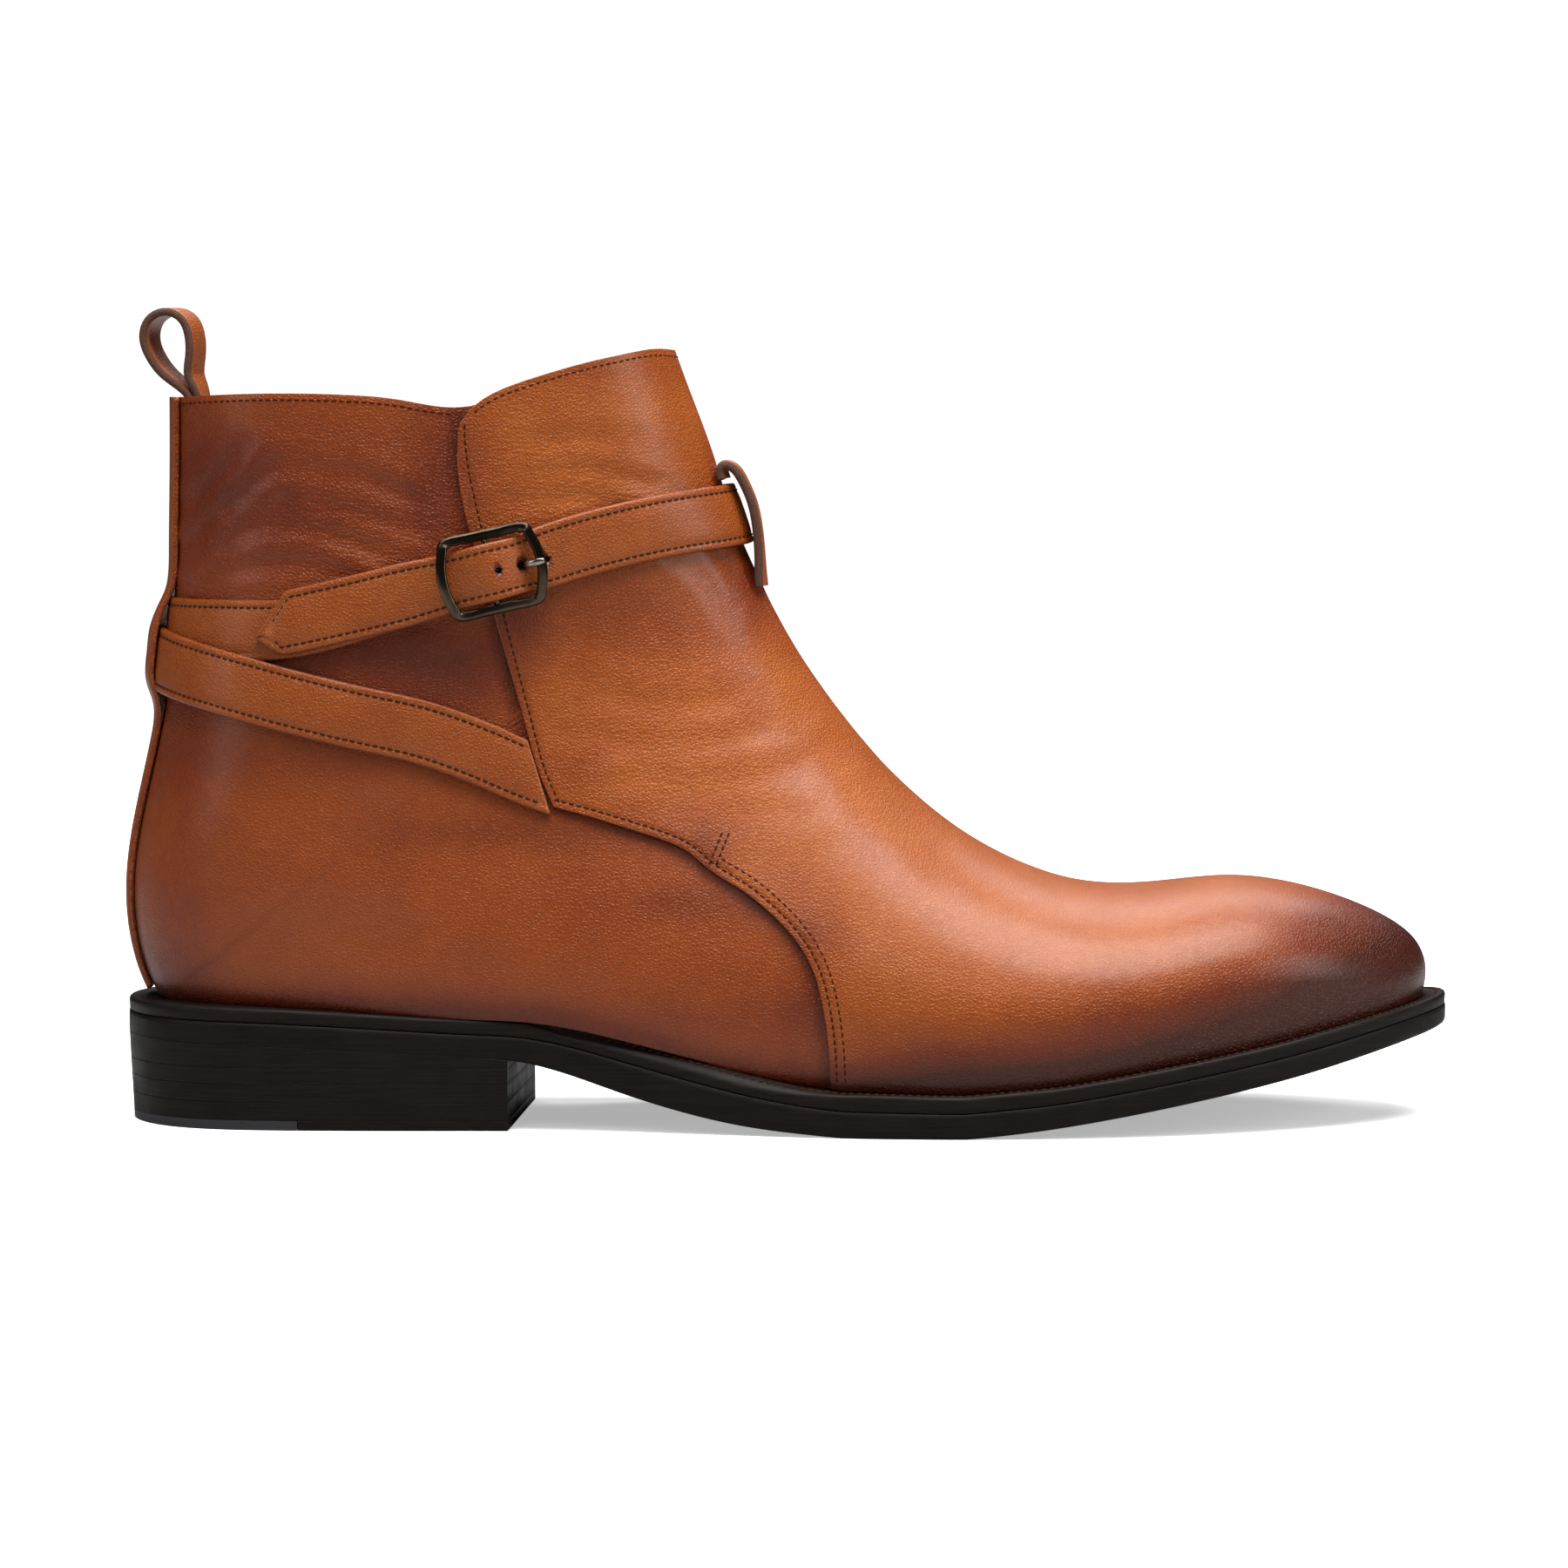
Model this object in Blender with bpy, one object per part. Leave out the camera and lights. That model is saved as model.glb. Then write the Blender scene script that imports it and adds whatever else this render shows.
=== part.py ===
"""Jodhpur boot, right foot, built on a men's last about 306 mm long over the sole.

The toe points along +X, the outer (lateral) side faces -Y and +Z is up. The origin is on the
ground, under the middle of the heel. Sizes are in millimetres and become metres in new_object().
"""

import math

import bmesh
import bpy
import numpy as np
from mathutils import Vector
from mathutils.bvhtree import BVHTree

MM = 0.001
GAP = 0.3

# Driving sizes: over the sole, across the ball, up to the instep, and from the ground to the seat. The tables
# below are drawn at the sizes in DRAWN, and sized() brings them to these.
LENGTH = 306.0
BALL_WIDTH = 100.6
INSTEP_HEIGHT = 87.4
HEEL_HEIGHT = 19.4
DRAWN = {"length": 306.0, "ball_width": 100.6, "instep_height": 87.4, "heel_height": 19.4}
BALL_X = 150.0

# Leather thicknesses
PANEL_THICKNESS = 1.2
WALL_THICKNESS = 2.2
# The form is the outside of the front panel, and the quarters lie this far inside it
UPPER_DEPTH = 1.8
COLUMNS = 9
FEATHER_GAP = 0.5

# Sole and heel
WELT_WIDTH = 13.0
BREAST_LATERAL = 56.0
BREAST_MEDIAL = 60.0
HEEL_TAPER = 0.055
LIFT_TOPS = tuple(round(HEEL_HEIGHT * share, 1) for share in (0.113, 0.330, 0.541, 0.737))
TIP_CUT = 8.0

# One row for each section through the last, from the toe to the collar. Each is a closed egg in a
# plane that leans back from the top line to the low line, which runs below the sole until the heel.
SECTION_COLUMNS = (
    "top_x", "top_z", "low_x", "low_z", "lateral", "medial", "ridge", "widest", "top_power", "low_power",
)
SECTIONS = (
    (268.4, 33.0, 268.4, 33.0, 6.0, 6.0, 6.0, 0.50, 2.0, 2.0),
    (266.6, 39.3, 266.6, 25.5, -3.5, 15.5, 6.0, 0.48, 2.0, 2.1),
    (261.5, 44.2, 261.5, 17.5, -12.0, 23.5, 5.8, 0.46, 2.0, 2.5),
    (252.5, 48.8, 252.5, 12.0, -20.5, 30.5, 5.5, 0.46, 2.0, 3.0),
    (239.0, 53.2, 239.0, 9.5, -29.5, 36.8, 5.0, 0.47, 2.0, 3.4),
    (222.0, 55.3, 222.0, 6.0, -37.5, 42.0, 4.7, 0.49, 2.0, 3.6),
    (203.5, 53.7, 203.0, 3.0, -43.4, 45.4, 4.6, 0.51, 2.0, 3.6),
    (186.5, 54.4, 186.0, 0.5, -46.8, 46.8, 4.8, 0.54, 2.0, 3.6),
    (171.5, 59.5, 169.0, -1.5, -47.9, 46.2, 4.8, 0.58, 1.95, 3.6),
    (158.0, 67.3, 149.0, -2.0, -47.4, 44.2, 4.4, 0.62, 1.92, 3.6),
    (146.5, 77.0, 124.0, -0.5, -45.6, 41.4, 3.8, 0.65, 1.9, 3.5),
    (136.8, 87.4, 96.0, 4.0, -43.0, 39.0, 3.0, 0.67, 1.88, 3.3),
    (128.2, 98.6, 65.0, 8.5, -40.2, 37.6, 2.4, 0.68, 1.86, 3.1),
    (120.8, 109.9, 33.0, 10.5, -38.2, 36.8, 1.9, 0.68, 1.85, 2.9),
    (114.4, 121.8, 2.0, 12.5, -36.8, 36.2, 1.4, 0.67, 1.85, 2.7),
    (109.3, 133.0, -23.5, 22.5, -35.8, 35.6, 1.0, 0.65, 1.86, 2.5),
    (105.6, 143.6, -33.3, 46.5, -34.9, 34.9, 0.6, 0.61, 1.88, 2.3),
    (102.9, 152.8, -31.2, 71.5, -34.0, 34.0, 0.3, 0.57, 1.9, 2.2),
    (100.0, 161.2, -25.6, 99.0, -33.0, 33.0, 0.0, 0.54, 1.92, 2.15),
    (97.0, 168.8, -23.2, 131.0, -31.8, 31.8, 0.0, 0.52, 1.95, 2.1),
    (94.0, 176.4, -22.8, 166.8, -30.8, 30.8, 0.0, 0.50, 2.0, 2.1),
)
LAST_SECTION = len(SECTIONS) - 1
COLLAR_BLEND = 5.0
FLAP_SECTION = 14.0
FOOT_ROWS = 30
END_CROWDING = 0.75
ROW_SPACE = 0.22
SHAFT_ROWS = 9
BACK_ROWS = 26
MEDIAL_COLLAR_DROP = 1.6

# Side view of the sole, one row for each station: height of its underside, and thickness with the welt
EDGE_COLUMNS = ("x", "underside", "thickness")
SOLE_EDGE = (
    (-33.0, 20.2, 8.0), (0.0, 19.4, 8.5), (30.0, 18.0, 8.4), (48.0, 16.9, 8.6), (57.5, 16.1, 9.1),
    (69.4, 13.2, 10.6), (81.3, 9.2, 12.0), (96.2, 4.9, 12.6), (111.0, 2.0, 11.7), (125.8, 0.5, 10.3),
    (140.0, -0.4, 9.9), (155.0, -0.3, 9.6), (170.0, 1.0, 9.5), (178.0, 2.0, 9.2), (197.0, 5.0, 9.0),
    (217.0, 8.7, 8.8), (237.0, 12.8, 8.5), (256.0, 17.4, 8.0), (273.0, 21.4, 7.2),
)
OUTSOLE_SHARE = 0.60

# Plan of the sole, one row for each station from the heel to the toe
SOLE_COLUMNS = ("x", "lateral", "medial")
SOLE_PLAN = (
    (-33.0, 0.0, 0.0),
    (-31.0, -11.5, 11.5),
    (-24.5, -22.6, 22.6),
    (-13.0, -30.4, 30.4),
    (3.0, -33.6, 33.6),
    (22.0, -34.5, 34.2),
    (42.0, -34.6, 33.2),
    (62.0, -34.9, 31.2),
    (82.0, -37.0, 30.6),
    (102.0, -41.3, 33.2),
    (122.0, -46.0, 39.0),
    (142.0, -49.4, 44.8),
    (162.0, -50.4, 48.8),
    (182.0, -49.4, 50.2),
    (202.0, -46.5, 49.2),
    (220.0, -41.6, 46.3),
    (237.0, -34.3, 41.2),
    (251.0, -26.0, 34.8),
    (262.5, -15.8, 27.6),
    (270.4, -4.6, 17.8),
    (273.0, 6.6, 6.6),
)

# Seam of the front panel in side view, from the sole to the collar
PANEL_SEAM = (
    (129.5, 2.0), (129.4, 10.4), (129.0, 20.0), (127.8, 29.0), (126.2, 35.6), (123.6, 41.4),
    (119.8, 46.6), (115.0, 51.3), (109.2, 55.8), (105.0, 58.3), (101.2, 60.9), (97.4, 64.6),
    (91.3, 66.9), (83.5, 69.4), (75.6, 71.8), (66.6, 74.2), (63.2, 82.0), (60.4, 92.0), (58.0, 101.0),
    (54.0, 116.7), (51.6, 126.6), (48.8, 137.4), (46.6, 147.0), (45.2, 156.0), (45.0, 163.0), (45.0, 190.0),
)
# Points of the seam that the rows of the walls run through
PANEL_CORNERS = (1, 2, 3, 4, 5, 6, 8, 15)
# Top lines in side view: the upper's own collar, and the higher line of the front panel
COLLAR_LINE = (
    (-24.0, 166.4), (-10.0, 167.3), (5.0, 167.7), (20.0, 167.4), (32.0, 166.3), (42.0, 164.7), (50.0, 165.4),
    (58.0, 168.6), (68.0, 172.2), (80.0, 175.4), (90.0, 176.8), (97.0, 176.2),
)
PANEL_LINE = (
    (40.0, 157.0), (44.8, 161.6), (46.6, 164.9), (49.6, 166.9), (54.4, 168.6), (64.3, 171.9), (74.2, 174.7),
    (84.2, 176.9), (90.0, 177.7), (97.0, 176.6),
)

# Straps: the path round the ankle, seen from a point on the axis of the shaft. turn is degrees from the
# toe, first to the lateral side; z is the middle of the strap; layer is the height of its inner face over
# the skin of the front panel; high and low are its edges; slant moves the high edge along the path.
SHAFT_AXIS_X = 40.0
STRAP_COLUMNS = ("turn", "z", "layer", "high", "low", "slant")
LONG_STRAP = (
    (58.5, 82.0, -1.4, 7.2, -7.2, 0.42), (64.0, 83.6, -1.4, 7.2, -7.2, 0.3), (75.0, 86.7, -1.4, 7.2, -7.2, 0.0),
    (95.0, 91.0, -1.4, 7.2, -7.2, 0.0), (115.0, 94.0, -1.4, 7.2, -7.2, 0.0), (134.0, 97.5, -1.0, 7.2, -7.2, 0.0),
    (150.0, 101.2, 0.1, 7.2, -7.2, 0.0), (168.0, 105.2, 0.1, 7.2, -7.2, 0.0), (180.0, 106.6, 0.1, 7.2, -7.2, 0.0),
    (195.0, 107.6, 0.1, 7.2, -7.2, 0.0), (225.0, 112.0, -1.2, 7.2, -7.2, 0.0), (255.0, 119.0, -1.2, 7.2, -7.2, 0.0),
    (285.0, 125.0, 0.3, 7.2, -7.2, 0.0), (310.0, 130.0, 0.4, 7.2, -7.2, 0.0), (335.0, 135.5, 0.4, 7.2, -7.2, 0.0),
    (350.0, 138.2, 0.8, 7.2, -7.2, 0.0), (360.0, 139.0, 1.0, 7.2, -7.2, 0.0), (372.0, 138.3, 0.7, 7.2, -7.2, 0.0),
    (385.0, 136.2, 0.4, 7.2, -7.2, 0.0), (402.0, 132.5, 0.4, 7.2, -7.2, 0.0), (412.0, 130.2, 1.0, 7.0, -7.0, 0.0),
    (420.0, 128.8, 2.5, 6.3, -6.3, 0.0), (429.0, 127.4, 4.0, 6.2, -6.2, 0.0), (439.0, 125.8, 2.5, 6.2, -6.2, 0.0),
    (450.0, 124.0, 0.7, 6.8, -6.8, 0.0), (463.0, 122.0, 0.3, 7.2, -7.2, 0.0), (480.0, 119.2, 0.1, 7.2, -7.2, 0.0),
    (492.0, 117.0, 0.1, 7.2, -7.2, 0.0), (496.5, 116.1, 0.1, 7.0, -7.1, 0.0), (500.0, 115.3, 0.1, 4.2, -5.4, 0.0),
    (506.0, 114.2, 0.1, -1.7, -2.5, 0.0),
)
BUCKLE_STRAP = (
    (181.0, 113.6, -1.4, 7.0, -7.0, 0.0), (168.0, 113.6, -1.4, 7.0, -7.0, 0.0), (150.0, 113.7, -1.4, 7.0, -7.0, 0.0),
    (134.0, 115.0, -1.4, 6.6, -6.6, 0.0), (115.0, 119.0, -1.4, 6.4, -6.4, 0.0), (98.0, 122.0, -1.4, 6.4, -6.4, 0.0),
    (84.0, 124.5, -0.4, 6.2, -6.2, 0.0), (76.0, 126.0, 0.3, 6.2, -6.2, 0.0), (71.5, 126.8, 0.3, 6.2, -6.2, 0.0),
)
STRAP_THICKNESS = 1.6
BUCKLE_STRAP_THICKNESS = 1.1

# Back strip: height, and how far its inner face stands over the skin. It opens into a tunnel for the straps.
BACK_STRIP_COLUMNS = ("z", "lift")
BACK_STRIP = (
    (28.0, -1.4), (60.0, -1.4), (80.0, -1.4), (88.0, -1.3), (93.0, 0.2), (98.0, 2.1), (103.0, 2.5), (108.0, 2.5),
    (113.0, 2.4), (117.0, 1.6), (121.0, 0.4), (126.0, -1.2), (132.0, -1.4), (150.0, -1.4), (166.0, -1.4),
)
BACK_STRIP_WIDTH = 15.0
BACK_STRIP_THICKNESS = 1.4

# Pull loop: the middle of its strip in side view, and how far it has turned about the upright, in degrees
LOOP_COLUMNS = ("x", "z", "turned")
PULL_LOOP = (
    (-14.0, 152.0, 0.0), (-14.2, 160.0, 0.0), (-14.7, 166.8, 0.0), (-17.4, 170.6, 6.0), (-21.6, 173.8, 10.0),
    (-25.2, 177.4, 12.0), (-26.7, 181.2, 12.0), (-25.4, 184.6, 12.0), (-22.0, 186.0, 12.0), (-18.6, 184.2, 12.0),
    (-16.6, 180.4, 12.0), (-15.6, 175.8, 11.0), (-14.2, 170.8, 7.0), (-12.3, 166.2, 2.0), (-11.9, 160.0, 0.0),
    (-11.5, 152.0, 0.0),
)
LOOP_WIDTH = 14.0
LOOP_THICKNESS = 2.0

# Front keeper: the side edge of a strip that stands over the long strap, and how far its middle stands forward
KEEPER_COLUMNS = ("x", "z", "cup")
KEEPER = (
    (104.1, 147.6, 1.6), (103.8, 149.5, 1.4), (105.0, 150.8, 1.0), (107.4, 149.8, 0.7), (109.7, 146.2, 0.5),
    (111.6, 141.2, 0.5), (113.0, 135.0, 0.6), (113.5, 129.5, 1.0), (113.9, 125.8, 1.5), (114.8, 123.0, 1.8),
)
KEEPER_WIDTH = 13.0
KEEPER_THICKNESS = 1.6

# Buckle: a quarter of its frame from the middle of the top to the middle of the front end
BUCKLE_CENTRE = (69.0, 127.4)
BUCKLE_RISE = 12.3
FRAME_QUARTER = ((0.0, 9.7), (4.6, 9.7), (8.8, 9.6), (10.4, 8.9), (11.2, 7.2), (12.1, 4.2), (12.6, 0.0))
FRAME_BAR = 2.7
FRAME_THICKNESS = 1.7
FRAME_LIFT = 1.7
FRAME_BOW = 2.5
CENTRE_BAR = 1.3
BAR_LIFT = 2.4
# Prong in the buckle's own frame: how far forward of the centre bar, and how far out
PRONG = ((1.1, 2.3), (3.8, 2.0), (6.0, 1.6), (7.0, 2.1), (7.6, 3.4), (8.3, 4.7), (9.6, 5.9), (12.0, 6.9))
PRONG_WIDTH = 1.6
PRONG_THICKNESS = 0.9
PRONG_HOLE = 3.4
PRONG_HOLE_AT = 7.3

LEATHER = (0.42, 0.15, 0.05)
STRAP_LEATHER = (0.50, 0.20, 0.07)
SOLE_LEATHER = (0.045, 0.032, 0.028)
INSOLE_LEATHER = (0.55, 0.38, 0.22)
RUBBER = (0.02, 0.02, 0.02)
GUNMETAL = (0.16, 0.16, 0.17)


def cubic(knots, values):
    """Natural cubic spline through the values, as a function of an array."""
    x, y = np.asarray(knots, float), np.asarray(values, float)
    count, step = len(x), np.diff(x)
    matrix, right = np.eye(count), np.zeros(count)
    for i in range(1, count - 1):
        matrix[i, i - 1 : i + 2] = step[i - 1], 2 * (step[i - 1] + step[i]), step[i]
        right[i] = 6 * ((y[i + 1] - y[i]) / step[i] - (y[i] - y[i - 1]) / step[i - 1])
    bend = np.linalg.solve(matrix, right)

    def value(t):
        t = np.asarray(t, float)
        i = np.clip(np.searchsorted(x, t) - 1, 0, count - 2)
        h, left, past = step[i], x[i + 1] - t, t - x[i]
        curved = (bend[i] * left**3 + bend[i + 1] * past**3) / (6 * h)
        return curved + (y[i] / h - bend[i] * h / 6) * left + (y[i + 1] / h - bend[i + 1] * h / 6) * past

    return value


def smooth(t):
    """0 before 0, 1 after 1, and a soft step between."""
    t = np.clip(t, 0, 1)
    return t * t * (3 - 2 * t)


def sized(columns, rows):
    """A drawn table at the driving sizes. Lengths grow along the boot, widths across it and heights upwards,
    and a higher heel lifts all that lies behind the ball."""
    along = LENGTH / DRAWN["length"]
    across = BALL_WIDTH / DRAWN["ball_width"]
    up = INSTEP_HEIGHT / DRAWN["instep_height"]
    higher = HEEL_HEIGHT - DRAWN["heel_height"]
    result = []
    for row in rows:
        values = dict(zip(columns, row))
        for name, value in zip(columns, row):
            if name.endswith("x"):
                values[name] = value * along
            elif name in ("lateral", "medial", "ridge"):
                values[name] = value * across
            elif name.endswith("z") or name == "underside":
                at = dict(zip(columns, row)).get(name[:-1] + "x" if name.endswith("z") else "x", SHAFT_AXIS_X)
                behind = float(smooth((BALL_X - at) / (BALL_X - SHAFT_AXIS_X)))
                values[name] = value * up + higher * behind
        result.append(tuple(values[name] for name in columns))
    return tuple(result)


def tracks(columns, rows, first=0):
    """A spline for each named column against the number of the row."""
    rows = np.array(rows, float)
    knots = np.arange(first, first + len(rows))
    return {name: cubic(knots, rows[:, i]) for i, name in enumerate(columns)}


def last_tracks():
    """The toe is a pole, so the rows run on through it, turned over and with their sides exchanged."""
    turned = [
        (r[2], r[3], r[0], r[1], r[5], r[4], r[6], 1 - r[7], r[9], r[8]) for r in (SECTIONS[2], SECTIONS[1])
    ]
    return tracks(SECTION_COLUMNS, turned + list(SECTIONS), first=-2)


def plan_tracks():
    """The plan of the sole runs on round the heel and the toe with its sides exchanged."""
    before = [(x, medial, lateral) for x, lateral, medial in (SOLE_PLAN[2], SOLE_PLAN[1])]
    after = [(x, medial, lateral) for x, lateral, medial in (SOLE_PLAN[-2], SOLE_PLAN[-3])]
    return tracks(SOLE_COLUMNS, before + list(SOLE_PLAN) + after, first=-2)


SIDE_VIEW = ("x", "z")
SECTIONS = sized(SECTION_COLUMNS, SECTIONS)
SOLE_EDGE = sized(EDGE_COLUMNS, SOLE_EDGE)
SOLE_PLAN = sized(SOLE_COLUMNS, SOLE_PLAN)
PANEL_SEAM = sized(SIDE_VIEW, PANEL_SEAM)
COLLAR_LINE = sized(SIDE_VIEW, COLLAR_LINE)
PANEL_LINE = sized(SIDE_VIEW, PANEL_LINE)
LONG_STRAP = sized(STRAP_COLUMNS, LONG_STRAP)
BUCKLE_STRAP = sized(STRAP_COLUMNS, BUCKLE_STRAP)
BACK_STRIP = sized(BACK_STRIP_COLUMNS, BACK_STRIP)
PULL_LOOP = sized(LOOP_COLUMNS, PULL_LOOP)
KEEPER = sized(KEEPER_COLUMNS, KEEPER)
LAST = last_tracks()
PLAN = plan_tracks()
EDGE_X, EDGE_UNDERSIDE, EDGE_THICKNESS = zip(*SOLE_EDGE)
UNDERSIDE_CURVE = cubic(EDGE_X, EDGE_UNDERSIDE)
THICKNESS_CURVE = cubic(EDGE_X, EDGE_THICKNESS)
COLLAR_CURVE = cubic(*zip(*COLLAR_LINE))
PANEL_CURVE = cubic(*zip(*PANEL_LINE))


def underside(x):
    """Height of the outsole's lower face. The tread is flat on the ground under the ball."""
    return np.maximum(UNDERSIDE_CURVE(x), 0.0)


def outsole_top(x):
    return underside(x) + OUTSOLE_SHARE * THICKNESS_CURVE(x) - GAP / 2


def welt_bottom(x):
    return outsole_top(x) + GAP


def welt_top(x):
    return underside(x) + THICKNESS_CURVE(x)


def form(section, angle):
    """Points of the boot's skin. section runs from 0 at the toe to LAST_SECTION at the collar. angle is 0
    on the top line and pi on the low line, positive on the lateral side and negative on the medial one."""
    section, angle = np.broadcast_arrays(np.asarray(section, float), np.asarray(angle, float))
    angle = (angle + math.pi) % (2 * math.pi) - math.pi
    row = {name: track(section) for name, track in LAST.items()}
    c, s = np.cos(angle), np.abs(np.sin(angle))
    above = c >= 0
    power = np.where(above, row["top_power"], row["low_power"])
    reach = (np.abs(c) ** power + s**power) ** (-1 / power)
    share = np.where(above, row["widest"], 1 - row["widest"])
    down = row["widest"] - share * reach * c
    side = np.where(angle >= 0, row["lateral"], row["medial"])
    middle = row["ridge"] * (1 - down * smooth(section / 5))
    x = row["top_x"] + down * (row["low_x"] - row["top_x"])
    y = middle + (side - middle) * reach * s
    z = row["top_z"] + down * (row["low_z"] - row["top_z"])
    # near the collar the sections bend to the top line
    front, back = SECTIONS[-1][0:2], SECTIONS[-1][2:4]
    flat = back[1] + (x - back[0]) * (front[1] - back[1]) / (front[0] - back[0])
    drop = np.where(angle < 0, MEDIAL_COLLAR_DROP * s, 0.0)
    bend = smooth((section - LAST_SECTION + COLLAR_BLEND) / COLLAR_BLEND)
    return np.stack([x, y, z + bend * (COLLAR_CURVE(x) - flat - drop)], -1)


def skin(section, angle, depth=0.0):
    """form() moved inwards by depth, along its own normal."""
    tiny = 1e-3
    points = form(section, angle)
    along = form(section + tiny, angle) - form(section - tiny, angle)
    around = form(section, angle + tiny) - form(section, angle - tiny)
    normal = np.cross(along, around)
    size = np.linalg.norm(normal, axis=-1, keepdims=True)
    at_toe = size < 1e-9
    normal = np.where(at_toe, np.array([1.0, 0.0, 0.0]), normal / np.where(at_toe, 1.0, size))
    return points - normal * depth


def bisect(low, high, passed, rounds=32):
    """Arrays of the places between low and high after which passed() is true."""
    for _ in range(rounds):
        middle = (low + high) / 2
        over = passed(middle)
        low, high = np.where(over, low, middle), np.where(over, middle, high)
    return high


def feather_angle(section, side, depth):
    """The angle at which a wall meets the welt, or pi where a section stays above it."""
    def under_welt(angle):
        point = skin(section, side * angle, depth)
        return point[..., 2] < welt_top(point[..., 0]) + FEATHER_GAP

    quarter, half = np.full(section.shape, math.pi / 2), np.full(section.shape, math.pi)
    found = bisect(quarter, half, under_welt)
    return np.where(under_welt(half - 1e-6), found, math.pi)


def closing_section(low, high, depth, towards_toe):
    """The section between low and high at which a wall stops meeting the welt."""
    def passed(section):
        closed = feather_angle(section, 1, depth) >= math.pi
        return ~closed if towards_toe else closed

    return float(bisect(np.array([low]), np.array([high]), passed, 24)[0])


def section_through(x, z):
    """The section whose plane passes through a point of the side view."""
    def passed(section):
        top_x, top_z = LAST["top_x"](section), LAST["top_z"](section)
        low_x, low_z = LAST["low_x"](section), LAST["low_z"](section)
        return (low_x - top_x) * (z - top_z) - (low_z - top_z) * (x - top_x) > 0

    return float(bisect(np.array([4.0]), np.array([19.0]), passed)[0])


def behind_seam(points):
    """True for the side-view points on the heel's side of the front panel's seam."""
    ring = list(PANEL_SEAM) + [(-200.0, PANEL_SEAM[-1][1]), (-200.0, PANEL_SEAM[0][1])]
    inside = np.zeros(len(points), bool)
    for (x0, z0), (x1, z1) in zip(ring, ring[1:] + ring[:1]):
        if z0 != z1:
            crosses = (z0 > points[:, 1]) != (z1 > points[:, 1])
            inside ^= crosses & (points[:, 0] < (x1 - x0) * (points[:, 1] - z0) / (z1 - z0) + x0)
    return inside


def seam_angle(sections, side, depth):
    """The angle at which each section crosses the front panel's seam, or pi where it doesn't."""
    found = np.full(len(sections), math.pi)
    trial = np.linspace(0.02, math.pi - 0.02, 900)
    for i, section in enumerate(sections):
        behind = behind_seam(skin(np.full(trial.shape, section), side * trial, depth)[:, [0, 2]])
        if behind.any():
            found[i] = trial[int(np.argmax(behind))]
    return found


def wall_rows(depth):
    """Section numbers for a wall's rows: the toe, a closed ring, the open foot, and the shaft."""
    toe = closing_section(0.0, 3.0, depth, True)
    heel = closing_section(14.0, 17.0, depth, False)
    share = np.linspace(0, 1, FOOT_ROWS)
    foot = toe + (heel - toe) * (share - END_CROWDING * np.sin(2 * math.pi * share) / (2 * math.pi))
    corners = [section_through(*PANEL_SEAM[i]) for i in PANEL_CORNERS]
    plain = [row for row in foot if min(abs(row - corner) for corner in corners) > ROW_SPACE]
    foot = np.sort(plain + corners)
    shaft = np.linspace(heel, LAST_SECTION, SHAFT_ROWS + 1)[1:]
    return np.concatenate([[0.0, toe / 2], foot, shaft])


def upper_grid(depth, columns):
    """Rows of points over the whole boot, from the feather on one side to that on the other."""
    sections = wall_rows(depth)
    lateral, medial = (feather_angle(sections, side, depth)[:, None] for side in (1, -1))
    share = np.linspace(-1, 1, 2 * columns + 1)[None, :]
    angles = np.where(share >= 0, share * lateral, share * medial)
    return skin(sections[:, None] + 0 * angles, angles, depth), lateral[:, 0] >= math.pi


def panel_grid(depth, columns):
    """Rows of points in front of the panel's seam. Near the collar each column runs on to the top line."""
    sections = wall_rows(depth)
    seam_start = section_through(*PANEL_SEAM[PANEL_CORNERS[0]])
    share = np.linspace(-1, 1, 2 * columns + 1)[None, :]
    reach = []
    for side in (1, -1):
        seam = seam_angle(sections, side, depth)
        seam = np.where(sections < seam_start - 0.01, math.pi, seam)
        reach.append(np.minimum(feather_angle(sections, side, depth), seam)[:, None])
    closed = reach[0][:, 0] >= math.pi
    flap = sections[:, None] > FLAP_SECTION
    edge = np.where(share[0] >= 0, share[0] * reach[0][-1], share[0] * reach[1][-1])

    def over_top(section):
        point = skin(section, edge, depth)
        drop = np.where(edge < 0, MEDIAL_COLLAR_DROP * np.abs(np.sin(edge)), 0.0)
        return point[:, 2] > PANEL_CURVE(point[:, 0]) - drop

    start = np.full(edge.shape, float(LAST_SECTION - 2))
    top = bisect(start, start + 3, over_top)[None, :]
    stretched = FLAP_SECTION + (sections[:, None] - FLAP_SECTION) * (top - FLAP_SECTION) / (
        LAST_SECTION - FLAP_SECTION)
    number = np.where(flap, stretched, sections[:, None] + 0 * share)
    angles = np.where(share >= 0, share * reach[0], share * reach[1])
    return skin(number, angles, depth), closed


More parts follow.
